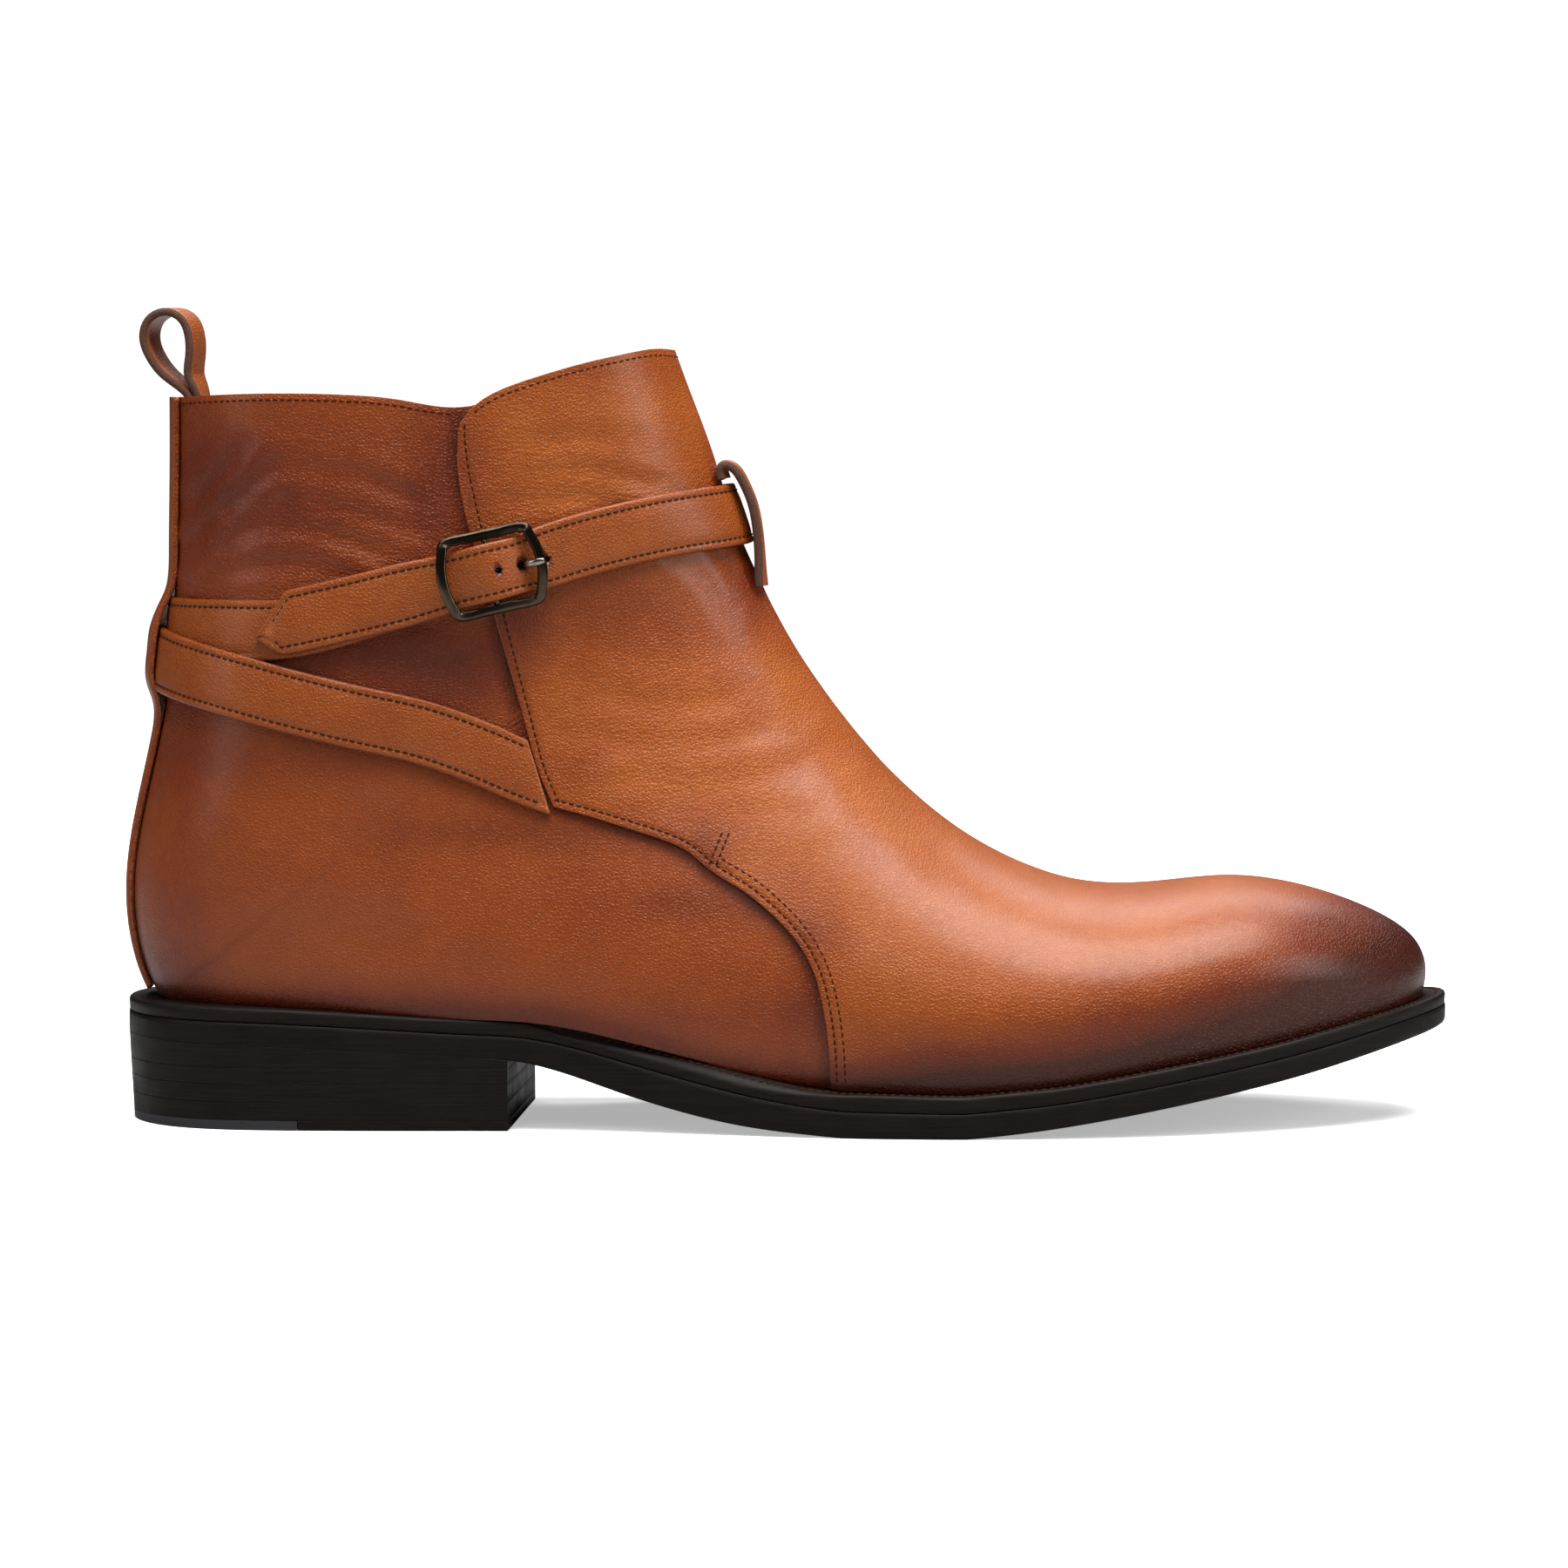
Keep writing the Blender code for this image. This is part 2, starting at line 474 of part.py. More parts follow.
def wall(name, outer, inner, closed, material):
    """One solid between two grids of equal size. Row 0 is the toe, and closed rows join up underneath."""
    rows, columns = outer.shape[:2]
    index, points, faces = {}, [], []

    def vertex(grid, layer, i, j):
        if i == 0 or (closed[i] and j == columns - 1):
            j = 0
        if (layer, i, j) not in index:
            index[layer, i, j] = len(points)
            points.append(grid[i, j])
        return index[layer, i, j]

    def face(*corners):
        corners = list(dict.fromkeys(corners))
        if len(corners) > 2:
            faces.append(corners)

    for i in range(rows - 1):
        for j in range(columns - 1):
            steps = ((i, j), (i + 1, j), (i + 1, j + 1), (i, j + 1))
            face(*(vertex(outer, 0, *at) for at in steps))
            face(*(vertex(inner, 1, *at) for at in reversed(steps)))
        if not (closed[i] and closed[i + 1]):
            for j, (a, b) in ((0, (i, i + 1)), (columns - 1, (i + 1, i))):
                face(vertex(outer, 0, a, j), vertex(inner, 1, a, j), vertex(inner, 1, b, j), vertex(outer, 0, b, j))
    for j in range(columns - 1):
        top = rows - 1
        face(vertex(outer, 0, top, j), vertex(inner, 1, top, j), vertex(inner, 1, top, j + 1),
             vertex(outer, 0, top, j + 1))
    return new_object(name, points, faces, material)


def new_object(name, points, faces, material, smooth_angle=40.0):
    mesh = bpy.data.meshes.new(name)
    mesh.from_pydata([tuple(float(c) * MM for c in point) for point in points], [], faces)
    tidy = bmesh.new()
    tidy.from_mesh(mesh)
    bmesh.ops.recalc_face_normals(tidy, faces=tidy.faces)
    bmesh.ops.triangulate(tidy, faces=tidy.faces[:])
    tidy.to_mesh(mesh)
    tidy.free()
    mesh.materials.append(material)
    mesh.shade_smooth()
    mesh.set_sharp_from_angle(angle=math.radians(smooth_angle))
    obj = bpy.data.objects.new(name, mesh)
    BOOT.objects.link(obj)
    return obj


def new_material(name, colour, roughness, metallic=0.0):
    material = bpy.data.materials.new(name)
    material.use_nodes = True
    shader = material.node_tree.nodes["Principled BSDF"]
    shader.inputs["Base Color"].default_value = (*colour, 1.0)
    shader.inputs["Roughness"].default_value = roughness
    shader.inputs["Metallic"].default_value = metallic
    return material


def make_upper():
    """Quarters and lining as one hollow wall, open at the collar and underneath."""
    outer, closed = upper_grid(UPPER_DEPTH, COLUMNS)
    inner, _ = upper_grid(UPPER_DEPTH + WALL_THICKNESS, COLUMNS)
    wall("upper", outer, inner, closed, MATERIALS["quarter"])


def make_front_panel():
    """Vamp and ankle flap in one piece, lying on the upper in front of its curved seam."""
    outer, closed = panel_grid(0.0, COLUMNS)
    inner, _ = panel_grid(PANEL_THICKNESS, COLUMNS)
    wall("front_panel", outer, inner, closed, MATERIALS["panel"])


def sole_loop(stations, inset=0.0):
    """Closed plan of the sole as x, y points, lateral side first, moved inwards by inset."""
    x = PLAN["x"](stations)
    lateral, medial = PLAN["lateral"](stations), PLAN["medial"](stations)
    loop = np.vstack([np.stack([x, lateral], 1), np.stack([x, medial], 1)[-2:0:-1]])
    along = np.roll(loop, -1, axis=0) - np.roll(loop, 1, axis=0)
    along /= np.linalg.norm(along, axis=1, keepdims=True)
    return loop + np.stack([-along[:, 1], along[:, 0]], 1) * inset


def plate(name, loop, low, high, material):
    """A plate over a sole_loop, between two heights that are functions of x."""
    count = len(loop)
    points = [(x, y, low(x)) for x, y in loop] + [(x, y, high(x)) for x, y in loop]
    faces = [(i, (i + 1) % count, count + (i + 1) % count, count + i) for i in range(count)]
    for level in (0, count):
        for i in range(count // 2):
            across = (level + i, level + i + 1, level + (count - i - 1) % count, level + (count - i) % count)
            across = list(dict.fromkeys(across))
            faces.append(across)
    return new_object(name, points, faces, material)


def ring_plate(name, outer, inner, low, high, material):
    """A flat ring between two loops of equal count."""
    count = len(outer)
    points = []
    for loop, height in ((outer, low), (outer, high), (inner, high), (inner, low)):
        points += [(x, y, height(x)) for x, y in loop]
    faces = []
    for i in range(count):
        j = (i + 1) % count
        for level in range(4):
            a, b = level * count, (level + 1) % 4 * count
            faces.append((a + i, a + j, b + j, b + i))
    return new_object(name, points, faces, material)


def make_sole():
    stations = np.linspace(0, len(SOLE_PLAN) - 1, 41)
    edge = sole_loop(stations)
    plate("outsole", edge, underside, outsole_top, MATERIALS["sole"])
    ring_plate("welt", edge, sole_loop(stations, WELT_WIDTH), welt_bottom, welt_top, MATERIALS["welt"])
    inside = sole_loop(stations, WELT_WIDTH + GAP)
    plate("insole", inside, welt_bottom, lambda x: welt_top(x) - GAP, MATERIALS["insole"])


def heel_loop(drop):
    """Plan of the heel at a height below the outsole, narrower towards the ground, breast first."""
    loop = sole_loop(np.linspace(0, len(SOLE_PLAN) - 1, 161), HEEL_TAPER * drop)
    half = len(loop) // 2 + 1
    lateral, medial = loop[:half], np.vstack([loop[half - 1 :], loop[:1]])[::-1]
    breast = [(BREAST_MEDIAL, np.interp(BREAST_MEDIAL, *medial.T)),
              (BREAST_LATERAL, np.interp(BREAST_LATERAL, *lateral.T))]
    lateral = lateral[lateral[:, 0] < BREAST_LATERAL - 2][::3]
    medial = medial[medial[:, 0] < BREAST_MEDIAL - 2][::3]
    return [tuple(p) for p in breast] + [tuple(p) for p in lateral[::-1]] + [tuple(p) for p in medial[1:]]


def cut_loop(loop, x, keep_front):
    """The part of a loop ahead of, or behind, a straight cut across it."""
    kept = []
    for a, b in zip(loop, loop[1:] + loop[:1]):
        if (a[0] > x) == keep_front:
            kept.append(a)
        if (a[0] > x) != (b[0] > x):
            kept.append((x, a[1] + (b[1] - a[1]) * (x - a[0]) / (b[0] - a[0])))
    return kept


def prism(name, low_loop, high_loop, low, high, material):
    """A block between two loops of equal count, each at heights that are functions of x."""
    count = len(low_loop)
    points = [(x, y, low(x)) for x, y in low_loop] + [(x, y, high(x)) for x, y in high_loop]
    faces = [(i, (i + 1) % count, count + (i + 1) % count, count + i) for i in range(count)]
    faces += [tuple(range(count)), tuple(range(count, 2 * count))]
    return new_object(name, points, faces, material)


def level(height):
    return lambda x: height


def make_heel():
    """Stacked lifts under the seat, on a top piece whose back end is a rubber tip."""
    seat = float(underside(0.0))
    top = LIFT_TOPS[0]
    low_loop, high_loop = heel_loop(seat), heel_loop(seat - top)
    for name, x, front, kind in (("heel_top_piece", TIP_CUT + GAP, True, "heel"),
                                 ("heel_rubber_tip", TIP_CUT, False, "rubber")):
        prism(name, cut_loop(low_loop, x, front), cut_loop(high_loop, x, front), level(0.0), level(top),
              MATERIALS[kind])
    for number, (low, high) in enumerate(zip(LIFT_TOPS, LIFT_TOPS[1:]), 1):
        low += GAP
        prism(f"heel_lift_{number}", heel_loop(seat - low), heel_loop(seat - high), level(low), level(high),
              MATERIALS["heel"])
    low = LIFT_TOPS[-1] + GAP
    prism(f"heel_lift_{len(LIFT_TOPS)}", heel_loop(seat - low), heel_loop(0.0), level(low),
          lambda x: underside(x) - GAP, MATERIALS["heel"])


def skin_tree():
    """The boot's skin as a tree that can be searched for the nearest point, in millimetres."""
    sections, angles = np.linspace(6, LAST_SECTION + 0.5, 150), np.linspace(-math.pi, math.pi, 161)
    grid = form(sections[:, None] + 0 * angles[None, :], angles[None, :] + 0 * sections[:, None])
    rows, columns = grid.shape[:2]
    faces = []
    for i in range(rows - 1):
        for j in range(columns - 1):
            a = i * columns + j
            faces.append((a, a + 1, a + columns + 1, a + columns))
    return BVHTree.FromPolygons([tuple(p) for p in grid.reshape(-1, 3)], faces)


def strap_frames(rows, spacing):
    """Evenly spaced places along a strap: its middle on the skin, and the along, across and out directions."""
    row = tracks(STRAP_COLUMNS, rows)
    numbers = np.linspace(0, len(rows) - 1, 40 * len(rows))
    middles = []
    for number in numbers:
        turn, z = math.radians(float(row["turn"](number))), float(row["z"](number))
        out = Vector((math.cos(turn), -math.sin(turn), 0.0))
        middles.append(SKIN.ray_cast(Vector((SHAFT_AXIS_X, 0.0, z)) + out * 200, -out)[0])
    middles = np.array(middles)
    length = np.concatenate([[0], np.cumsum(np.linalg.norm(np.diff(middles, axis=0), axis=1))])
    even = np.linspace(0, length[-1], int(length[-1] / spacing) + 1)
    number = np.interp(even, length, numbers)
    middle = np.stack([np.interp(even, length, middles[:, i]) for i in range(3)], 1)
    along = np.gradient(middle, axis=0)
    along /= np.linalg.norm(along, axis=1, keepdims=True)
    out = np.array([SKIN.find_nearest(Vector(p))[1] for p in middle])
    out *= np.sign(np.sum(out * (middle - [SHAFT_AXIS_X, 0, 0]) * [1, 1, 0], axis=1))[:, None]
    across = np.cross(out, along)
    across *= np.sign(across[:, 2])[:, None]
    across /= np.linalg.norm(across, axis=1, keepdims=True)
    out = np.cross(along, across)
    out *= np.sign(np.sum(out * (middle - [SHAFT_AXIS_X, 0, 0]) * [1, 1, 0], axis=1))[:, None]
    return {name: row[name](number) for name in STRAP_COLUMNS}, middle, along, across, out


def strap_clearance(middle, across, out, low, high):
    """How far out a flat strap must stand so that no part of its width enters the skin."""
    need = []
    for i in range(len(middle)):
        worst = 0.0
        for share in np.linspace(0, 1, 7):
            point = middle[i] + across[i] * (low[i] + share * (high[i] - low[i]))
            nearest = np.array(SKIN.find_nearest(Vector(point))[0])
            worst = max(worst, float(np.dot(nearest - point, out[i])))
        need.append(worst)
    padded = np.pad(need, 2, mode="edge")
    peak = np.array([padded[i : i + 5].max() for i in range(len(need))])
    padded = np.pad(peak, 2, mode="edge")
    return np.array([padded[i : i + 5].mean() for i in range(len(need))])


def loft(name, rings, material):
    """A solid through rings of equal count, closed at both ends."""
    count = len(rings[0])
    points = [point for ring in rings for point in ring]
    faces = [tuple(range(count)), tuple(range(len(points) - count, len(points)))]
    for i in range(len(rings) - 1):
        for j in range(count):
            a, b = i * count + j, i * count + (j + 1) % count
            faces.append((a, b, b + count, a + count))
    return new_object(name, points, faces, material, 30.0)


def make_strap(name, rows, thickness, spacing, material):
    row, middle, along, across, out = strap_frames(rows, spacing)
    need = strap_clearance(middle, across, out, row["low"], row["high"])
    rings = []
    for i in range(len(middle)):
        ring = []
        for edge, top in (("low", 0), ("high", 0), ("high", 1), ("low", 1)):
            offset = float(row[edge][i])
            shift = along[i] * float(row["slant"][i]) * offset
            rise = need[i] + float(row["layer"][i]) + top * thickness
            ring.append(middle[i] + across[i] * offset + shift + out[i] * rise)
        rings.append(ring)
    return loft(name, rings, material)


def make_back_strip():
    """Strip down the back seam, standing off the quarters where the straps run through it."""
    lift = cubic(*zip(*BACK_STRIP))
    heel = closing_section(14.0, 17.0, UPPER_DEPTH, False)
    sections = heel + (LAST_SECTION - heel) * np.linspace(0.02, 1, BACK_ROWS)
    grids = []
    for extra in (0.0, BACK_STRIP_THICKNESS):
        rows = []
        for section in sections:
            trial = np.linspace(math.pi, math.pi - 1.2, 60)
            edge = form(np.full(trial.shape, section), trial)[:, 1]
            reach = math.pi - np.interp(-BACK_STRIP_WIDTH / 2, edge[::-1], trial[::-1])
            angles = math.pi + np.linspace(-reach, reach, 7)
            height = float(form(section, math.pi)[2])
            rows.append(skin(np.full(angles.shape, section), angles, -(float(lift(height)) + extra)))
        grids.append(np.array(rows))
    rings = [list(inner) + list(outer[::-1]) for inner, outer in zip(*grids)]
    loft("back_strip", rings, MATERIALS["quarter"])


def strip(name, middle, turned, cup, width, thickness, across, material):
    """A strip whose middle line is drawn in side view. across lists its points from side to side, as -1 to 1."""
    along = np.gradient(middle, axis=0)
    along /= np.linalg.norm(along, axis=1, keepdims=True)
    rings = []
    for (x, z), (dx, dz), angle, forward in zip(middle, along, np.radians(turned), cup):
        ring = []
        for side, face in [(side, -1) for side in across] + [(side, 1) for side in across[::-1]]:
            reach = side * width / 2
            bulge = 0.0 if side else forward
            ring.append((x - dz * face * thickness / 2 + reach * math.sin(angle) + bulge, reach * math.cos(angle),
                         z + dx * face * thickness / 2))
        rings.append(ring)
    return loft(name, rings, material)


def make_pull_loop():
    row = tracks(LOOP_COLUMNS, PULL_LOOP)
    number = np.linspace(0, len(PULL_LOOP) - 1, 46)
    middle = np.stack([row["x"](number), row["z"](number)], 1)
    strip("pull_loop", middle, row["turned"](number), 0 * number, LOOP_WIDTH, LOOP_THICKNESS, (-1, 1),
          MATERIALS["strap"])


def make_keeper():
    row = tracks(KEEPER_COLUMNS, KEEPER)
    number = np.linspace(0, len(KEEPER) - 1, 24)
    middle = np.stack([row["x"](number), row["z"](number)], 1)
    strip("front_keeper", middle, 0 * number, row["cup"](number), KEEPER_WIDTH, KEEPER_THICKNESS, (-1, 0, 1),
          MATERIALS["strap"])


def buckle_placing():
    """Middle of the buckle on the skin, and its forward, upward and outward directions."""
    turn, z = math.radians(BUCKLE_CENTRE[0]), BUCKLE_CENTRE[1]
    out = Vector((math.cos(turn), -math.sin(turn), 0.0))
    middle, normal = SKIN.ray_cast(Vector((SHAFT_AXIS_X, 0.0, z)) + out * 200, -out)[:2]
    normal = normal if normal.dot(out) > 0 else -normal
    rise = math.radians(BUCKLE_RISE)
    forward = Vector((math.cos(rise), 0.0, math.sin(rise)))
    forward = (forward - normal * forward.dot(normal)).normalized()
    return np.array(middle), np.array(forward), np.array(normal.cross(forward)), np.array(normal)


def frame_lift(forward):
    return FRAME_LIFT + FRAME_BOW * (forward / FRAME_QUARTER[-1][0]) ** 2


def make_buckle_frame():
    """Bowed frame with its centre bar, in one piece."""
    middle, forward, upward, out = buckle_placing()
    quarter = np.array(FRAME_QUARTER)
    half = np.vstack([quarter, (quarter * [1, -1])[-2::-1]])
    outline = np.vstack([half, (half * [-1, 1])[-2:0:-1]])
    along = np.roll(outline, -1, axis=0) - np.roll(outline, 1, axis=0)
    along /= np.linalg.norm(along, axis=1, keepdims=True)
    inwards = np.stack([along[:, 1], -along[:, 0]], 1)
    rings = []
    for (u, v), (iu, iv) in zip(outline, inwards):
        ring = []
        for inset, rise in ((0.35, 0), (0, 0.35), (0, 0.7), (0.35, 1), (0.65, 1), (1, 0.7), (1, 0.35), (0.65, 0)):
            a, b = u + iu * inset * FRAME_BAR, v + iv * inset * FRAME_BAR
            c = frame_lift(u) + rise * FRAME_THICKNESS
            ring.append(middle + forward * a + upward * b + out * c)
        rings.append(ring)
    count, size = len(rings), 8
    faces = []
    for i in range(count):
        for j in range(size):
            a, b = i * size, (i + 1) % count * size
            faces.append((a + j, a + (j + 1) % size, b + (j + 1) % size, b + j))
    frame = new_object("buckle_frame", [p for ring in rings for p in ring], faces, MATERIALS["buckle"], 50.0)
    add_centre_bar(frame, middle, forward, upward, out)


def apply_boolean(obj, tool, operation):
    bpy.context.view_layer.objects.active = obj
    modifier = obj.modifiers.new(operation.lower(), "BOOLEAN")
    modifier.operation = operation
    modifier.solver = "EXACT"
    modifier.object = tool
    bpy.ops.object.modifier_apply(modifier=modifier.name)
    bpy.data.objects.remove(tool, do_unlink=True)


def rod(name, middle, first, second, direction, radius, ends, material, sides=8):
    """A round rod along direction, between two distances from middle."""
    rings = []
    for end in ends:
        ring = []
        for turn in np.linspace(0, 2 * math.pi, sides + 1)[:-1]:
            ring.append(middle + direction * end + radius * (first * math.cos(turn) + second * math.sin(turn)))
        rings.append(ring)
    return loft(name, rings, material)


def add_centre_bar(frame, middle, forward, upward, out):
    reach = FRAME_QUARTER[0][1] - FRAME_BAR / 2
    bar = rod("centre_bar", middle + out * BAR_LIFT, forward, out, upward, CENTRE_BAR / 2, (-reach, reach),
              MATERIALS["buckle"])
    apply_boolean(frame, bar, "UNION")


def make_prong(strap):
    """Prong from the centre bar, up through a hole in the long strap and over the frame's front bar."""
    middle, forward, upward, out = buckle_placing()
    path = np.array(PRONG)
    along = np.gradient(path, axis=0)
    along /= np.linalg.norm(along, axis=1, keepdims=True)
    rings = []
    for (a, c), (da, dc) in zip(path, along):
        ring = []
        for side, face in ((-1, -1), (1, -1), (1, 1), (-1, 1)):
            u, w = a - dc * face * PRONG_THICKNESS / 2, c + da * face * PRONG_THICKNESS / 2
            ring.append(middle + forward * u + out * w + upward * side * PRONG_WIDTH / 2)
        rings.append(ring)
    loft("buckle_prong", rings, MATERIALS["buckle"])
    hole = rod("prong_hole", middle + forward * PRONG_HOLE_AT, forward, upward, out, PRONG_HOLE / 2, (-3, 8),
               MATERIALS["strap"], 12)
    apply_boolean(strap, hole, "DIFFERENCE")


def clear_scene():
    for obj in list(bpy.data.objects):
        bpy.data.objects.remove(obj, do_unlink=True)


clear_scene()
BOOT = bpy.data.collections.new("jodhpur_boot")
bpy.context.scene.collection.children.link(BOOT)
MATERIALS = {
    "quarter": new_material("quarter_calf", LEATHER, 0.4),
    "panel": new_material("panel_calf", LEATHER, 0.4),
    "strap": new_material("strap_calf", STRAP_LEATHER, 0.45),
    "sole": new_material("sole_leather", SOLE_LEATHER, 0.5),
    "welt": new_material("welt_leather", SOLE_LEATHER, 0.5),
    "heel": new_material("heel_leather", SOLE_LEATHER, 0.5),
    "insole": new_material("insole_leather", INSOLE_LEATHER, 0.6),
    "rubber": new_material("tip_rubber", RUBBER, 0.7),
    "buckle": new_material("gunmetal", GUNMETAL, 0.25, 1.0),
}
SKIN = skin_tree()
make_upper()
make_front_panel()
make_sole()
make_heel()
long_strap = make_strap("long_strap", LONG_STRAP, STRAP_THICKNESS, 3.6, MATERIALS["strap"])
make_strap("buckle_strap", BUCKLE_STRAP, BUCKLE_STRAP_THICKNESS, 3.6, MATERIALS["strap"])
make_back_strip()
make_pull_loop()
make_keeper()
make_buckle_frame()
make_prong(long_strap)
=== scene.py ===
"""A right jodhpur boot in burnished tan calf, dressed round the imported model.

Sizes are in millimetres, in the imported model's frame: the toe points along +X, the outer side faces -Y
and +Z is up. place() turns them into metres. The sections of the last are the same as the solids'.
"""

import math

import bpy
import numpy as np
from mathutils import Matrix, Vector
from mathutils.bvhtree import BVHTree


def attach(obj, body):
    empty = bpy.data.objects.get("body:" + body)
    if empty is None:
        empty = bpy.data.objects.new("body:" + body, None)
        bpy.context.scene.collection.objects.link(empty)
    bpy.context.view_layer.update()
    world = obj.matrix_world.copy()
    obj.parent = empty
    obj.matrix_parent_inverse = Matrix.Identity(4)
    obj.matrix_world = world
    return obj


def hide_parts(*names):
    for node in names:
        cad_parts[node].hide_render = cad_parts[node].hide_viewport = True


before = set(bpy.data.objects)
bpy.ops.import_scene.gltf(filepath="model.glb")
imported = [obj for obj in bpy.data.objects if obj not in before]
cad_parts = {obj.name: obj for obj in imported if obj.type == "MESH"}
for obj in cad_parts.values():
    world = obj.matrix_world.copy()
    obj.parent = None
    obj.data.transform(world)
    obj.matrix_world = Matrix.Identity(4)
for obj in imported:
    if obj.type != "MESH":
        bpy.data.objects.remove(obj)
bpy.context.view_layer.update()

MM = 0.001
GAP = 0.3

# Leather
PANEL_THICKNESS = 1.3
WALL_THICKNESS = 2.1
UPPER_DEPTH = 1.8
EDGE_ROUND = 0.35

# Sole and heel
WELT_WIDTH = 13.0
WELT_SHARE = 0.40
BREAST_LATERAL = 56.0
BREAST_MEDIAL = 60.0
HEEL_TAPER = 0.055
LIFT_TOPS = (0.0, 2.2, 6.4, 10.5, 14.3)
TIP_CUT = 8.0
LIFT_EDGE = 0.07

# Sections through the last, from the toe to the collar
SECTION_COLUMNS = (
    "top_x", "top_z", "low_x", "low_z", "lateral", "medial", "ridge", "widest", "top_power", "low_power",
)
SECTIONS = (
    (268.4, 33.0, 268.4, 33.0, 6.0, 6.0, 6.0, 0.50, 2.0, 2.0),
    (266.6, 39.3, 266.6, 25.5, -3.5, 15.5, 6.0, 0.48, 2.0, 2.1),
    (261.5, 44.2, 261.5, 17.5, -12.0, 23.5, 5.8, 0.46, 2.0, 2.5),
    (252.5, 48.8, 252.5, 12.0, -20.5, 30.5, 5.5, 0.46, 2.0, 3.0),
    (239.0, 53.2, 239.0, 9.5, -29.5, 36.8, 5.0, 0.47, 2.0, 3.4),
    (222.0, 55.3, 222.0, 6.0, -37.5, 42.0, 4.7, 0.49, 2.0, 3.6),
    (203.5, 53.7, 203.0, 3.0, -43.4, 45.4, 4.6, 0.51, 2.0, 3.6),
    (186.5, 54.4, 186.0, 0.5, -46.8, 46.8, 4.8, 0.54, 2.0, 3.6),
    (171.5, 59.5, 169.0, -1.5, -47.9, 46.2, 4.8, 0.58, 1.95, 3.6),
    (158.0, 67.3, 149.0, -2.0, -47.4, 44.2, 4.4, 0.62, 1.92, 3.6),
    (146.5, 77.0, 124.0, -0.5, -45.6, 41.4, 3.8, 0.65, 1.9, 3.5),
    (136.8, 87.4, 96.0, 4.0, -43.0, 39.0, 3.0, 0.67, 1.88, 3.3),
    (128.2, 98.6, 65.0, 8.5, -40.2, 37.6, 2.4, 0.68, 1.86, 3.1),
    (120.8, 109.9, 33.0, 10.5, -38.2, 36.8, 1.9, 0.68, 1.85, 2.9),
    (114.4, 121.8, 2.0, 12.5, -36.8, 36.2, 1.4, 0.67, 1.85, 2.7),
    (109.3, 133.0, -23.5, 22.5, -35.8, 35.6, 1.0, 0.65, 1.86, 2.5),
    (105.6, 143.6, -33.3, 46.5, -34.9, 34.9, 0.6, 0.61, 1.88, 2.3),
    (102.9, 152.8, -31.2, 71.5, -34.0, 34.0, 0.3, 0.57, 1.9, 2.2),
    (100.0, 161.2, -25.6, 99.0, -33.0, 33.0, 0.0, 0.54, 1.92, 2.15),
    (97.0, 168.8, -23.2, 131.0, -31.8, 31.8, 0.0, 0.52, 1.95, 2.1),
    (94.0, 176.4, -22.8, 166.8, -30.8, 30.8, 0.0, 0.50, 2.0, 2.1),
)
LAST_SECTION = len(SECTIONS) - 1
COLLAR_BLEND = 5.0
FLAP_SECTION = 14.0
MEDIAL_COLLAR_DROP = 1.6

# Side view of the sole: height of its underside, and its thickness with the welt
SOLE_EDGE = (
    (-33.0, 20.2, 8.0), (0.0, 19.4, 8.5), (30.0, 18.0, 8.4), (48.0, 16.9, 8.6), (57.5, 16.1, 9.1),
    (69.4, 13.2, 10.6), (81.3, 9.2, 12.0), (96.2, 4.9, 12.6), (111.0, 2.0, 11.7), (125.8, 0.5, 10.3),
    (140.0, -0.4, 9.9), (155.0, -0.3, 9.6), (170.0, 1.0, 9.5), (178.0, 2.0, 9.2), (197.0, 5.0, 9.0),
    (217.0, 8.7, 8.8), (237.0, 12.8, 8.5), (256.0, 17.4, 8.0), (273.0, 21.4, 7.2),
)
SOLE_COLUMNS = ("x", "lateral", "medial")
SOLE_PLAN = (
    (-33.0, 0.0, 0.0), (-31.0, -11.5, 11.5), (-24.5, -22.6, 22.6), (-13.0, -30.4, 30.4), (3.0, -33.6, 33.6),
    (22.0, -34.5, 34.2), (42.0, -34.6, 33.2), (62.0, -34.9, 31.2), (82.0, -37.0, 30.6), (102.0, -41.3, 33.2),
    (122.0, -46.0, 39.0), (142.0, -49.4, 44.8), (162.0, -50.4, 48.8), (182.0, -49.4, 50.2),
    (202.0, -46.5, 49.2), (220.0, -41.6, 46.3), (237.0, -34.3, 41.2), (251.0, -26.0, 34.8),
    (262.5, -15.8, 27.6), (270.4, -4.6, 17.8), (273.0, 6.6, 6.6),
)

# Seam of the front panel in side view: from the sole to the corner at the lower strap, then up the flap
SEAM_LOW = (
    (129.5, 2.0), (129.4, 10.4), (129.0, 20.0), (127.8, 29.0), (126.2, 35.6), (123.6, 41.4),
    (119.8, 46.6), (115.0, 51.3), (109.2, 55.8), (105.0, 58.3), (101.2, 60.9), (97.4, 64.0),
    (91.3, 66.9), (83.5, 69.4), (75.6, 71.8), (66.6, 74.2),
)
SEAM_FLAP = (
    (66.6, 74.2), (63.2, 82.0), (60.4, 92.0), (58.0, 101.0), (54.0, 116.7), (51.6, 126.6), (48.8, 137.4),
    (46.6, 147.0), (45.2, 156.0), (45.0, 163.0), (45.0, 190.0),
)
COLLAR_LINE = (
    (-24.0, 166.4), (-10.0, 167.3), (5.0, 167.7), (20.0, 167.4), (32.0, 166.3), (42.0, 164.7), (50.0, 165.4),
    (58.0, 168.6), (68.0, 172.2), (80.0, 175.4), (90.0, 176.8), (97.0, 176.2),
)
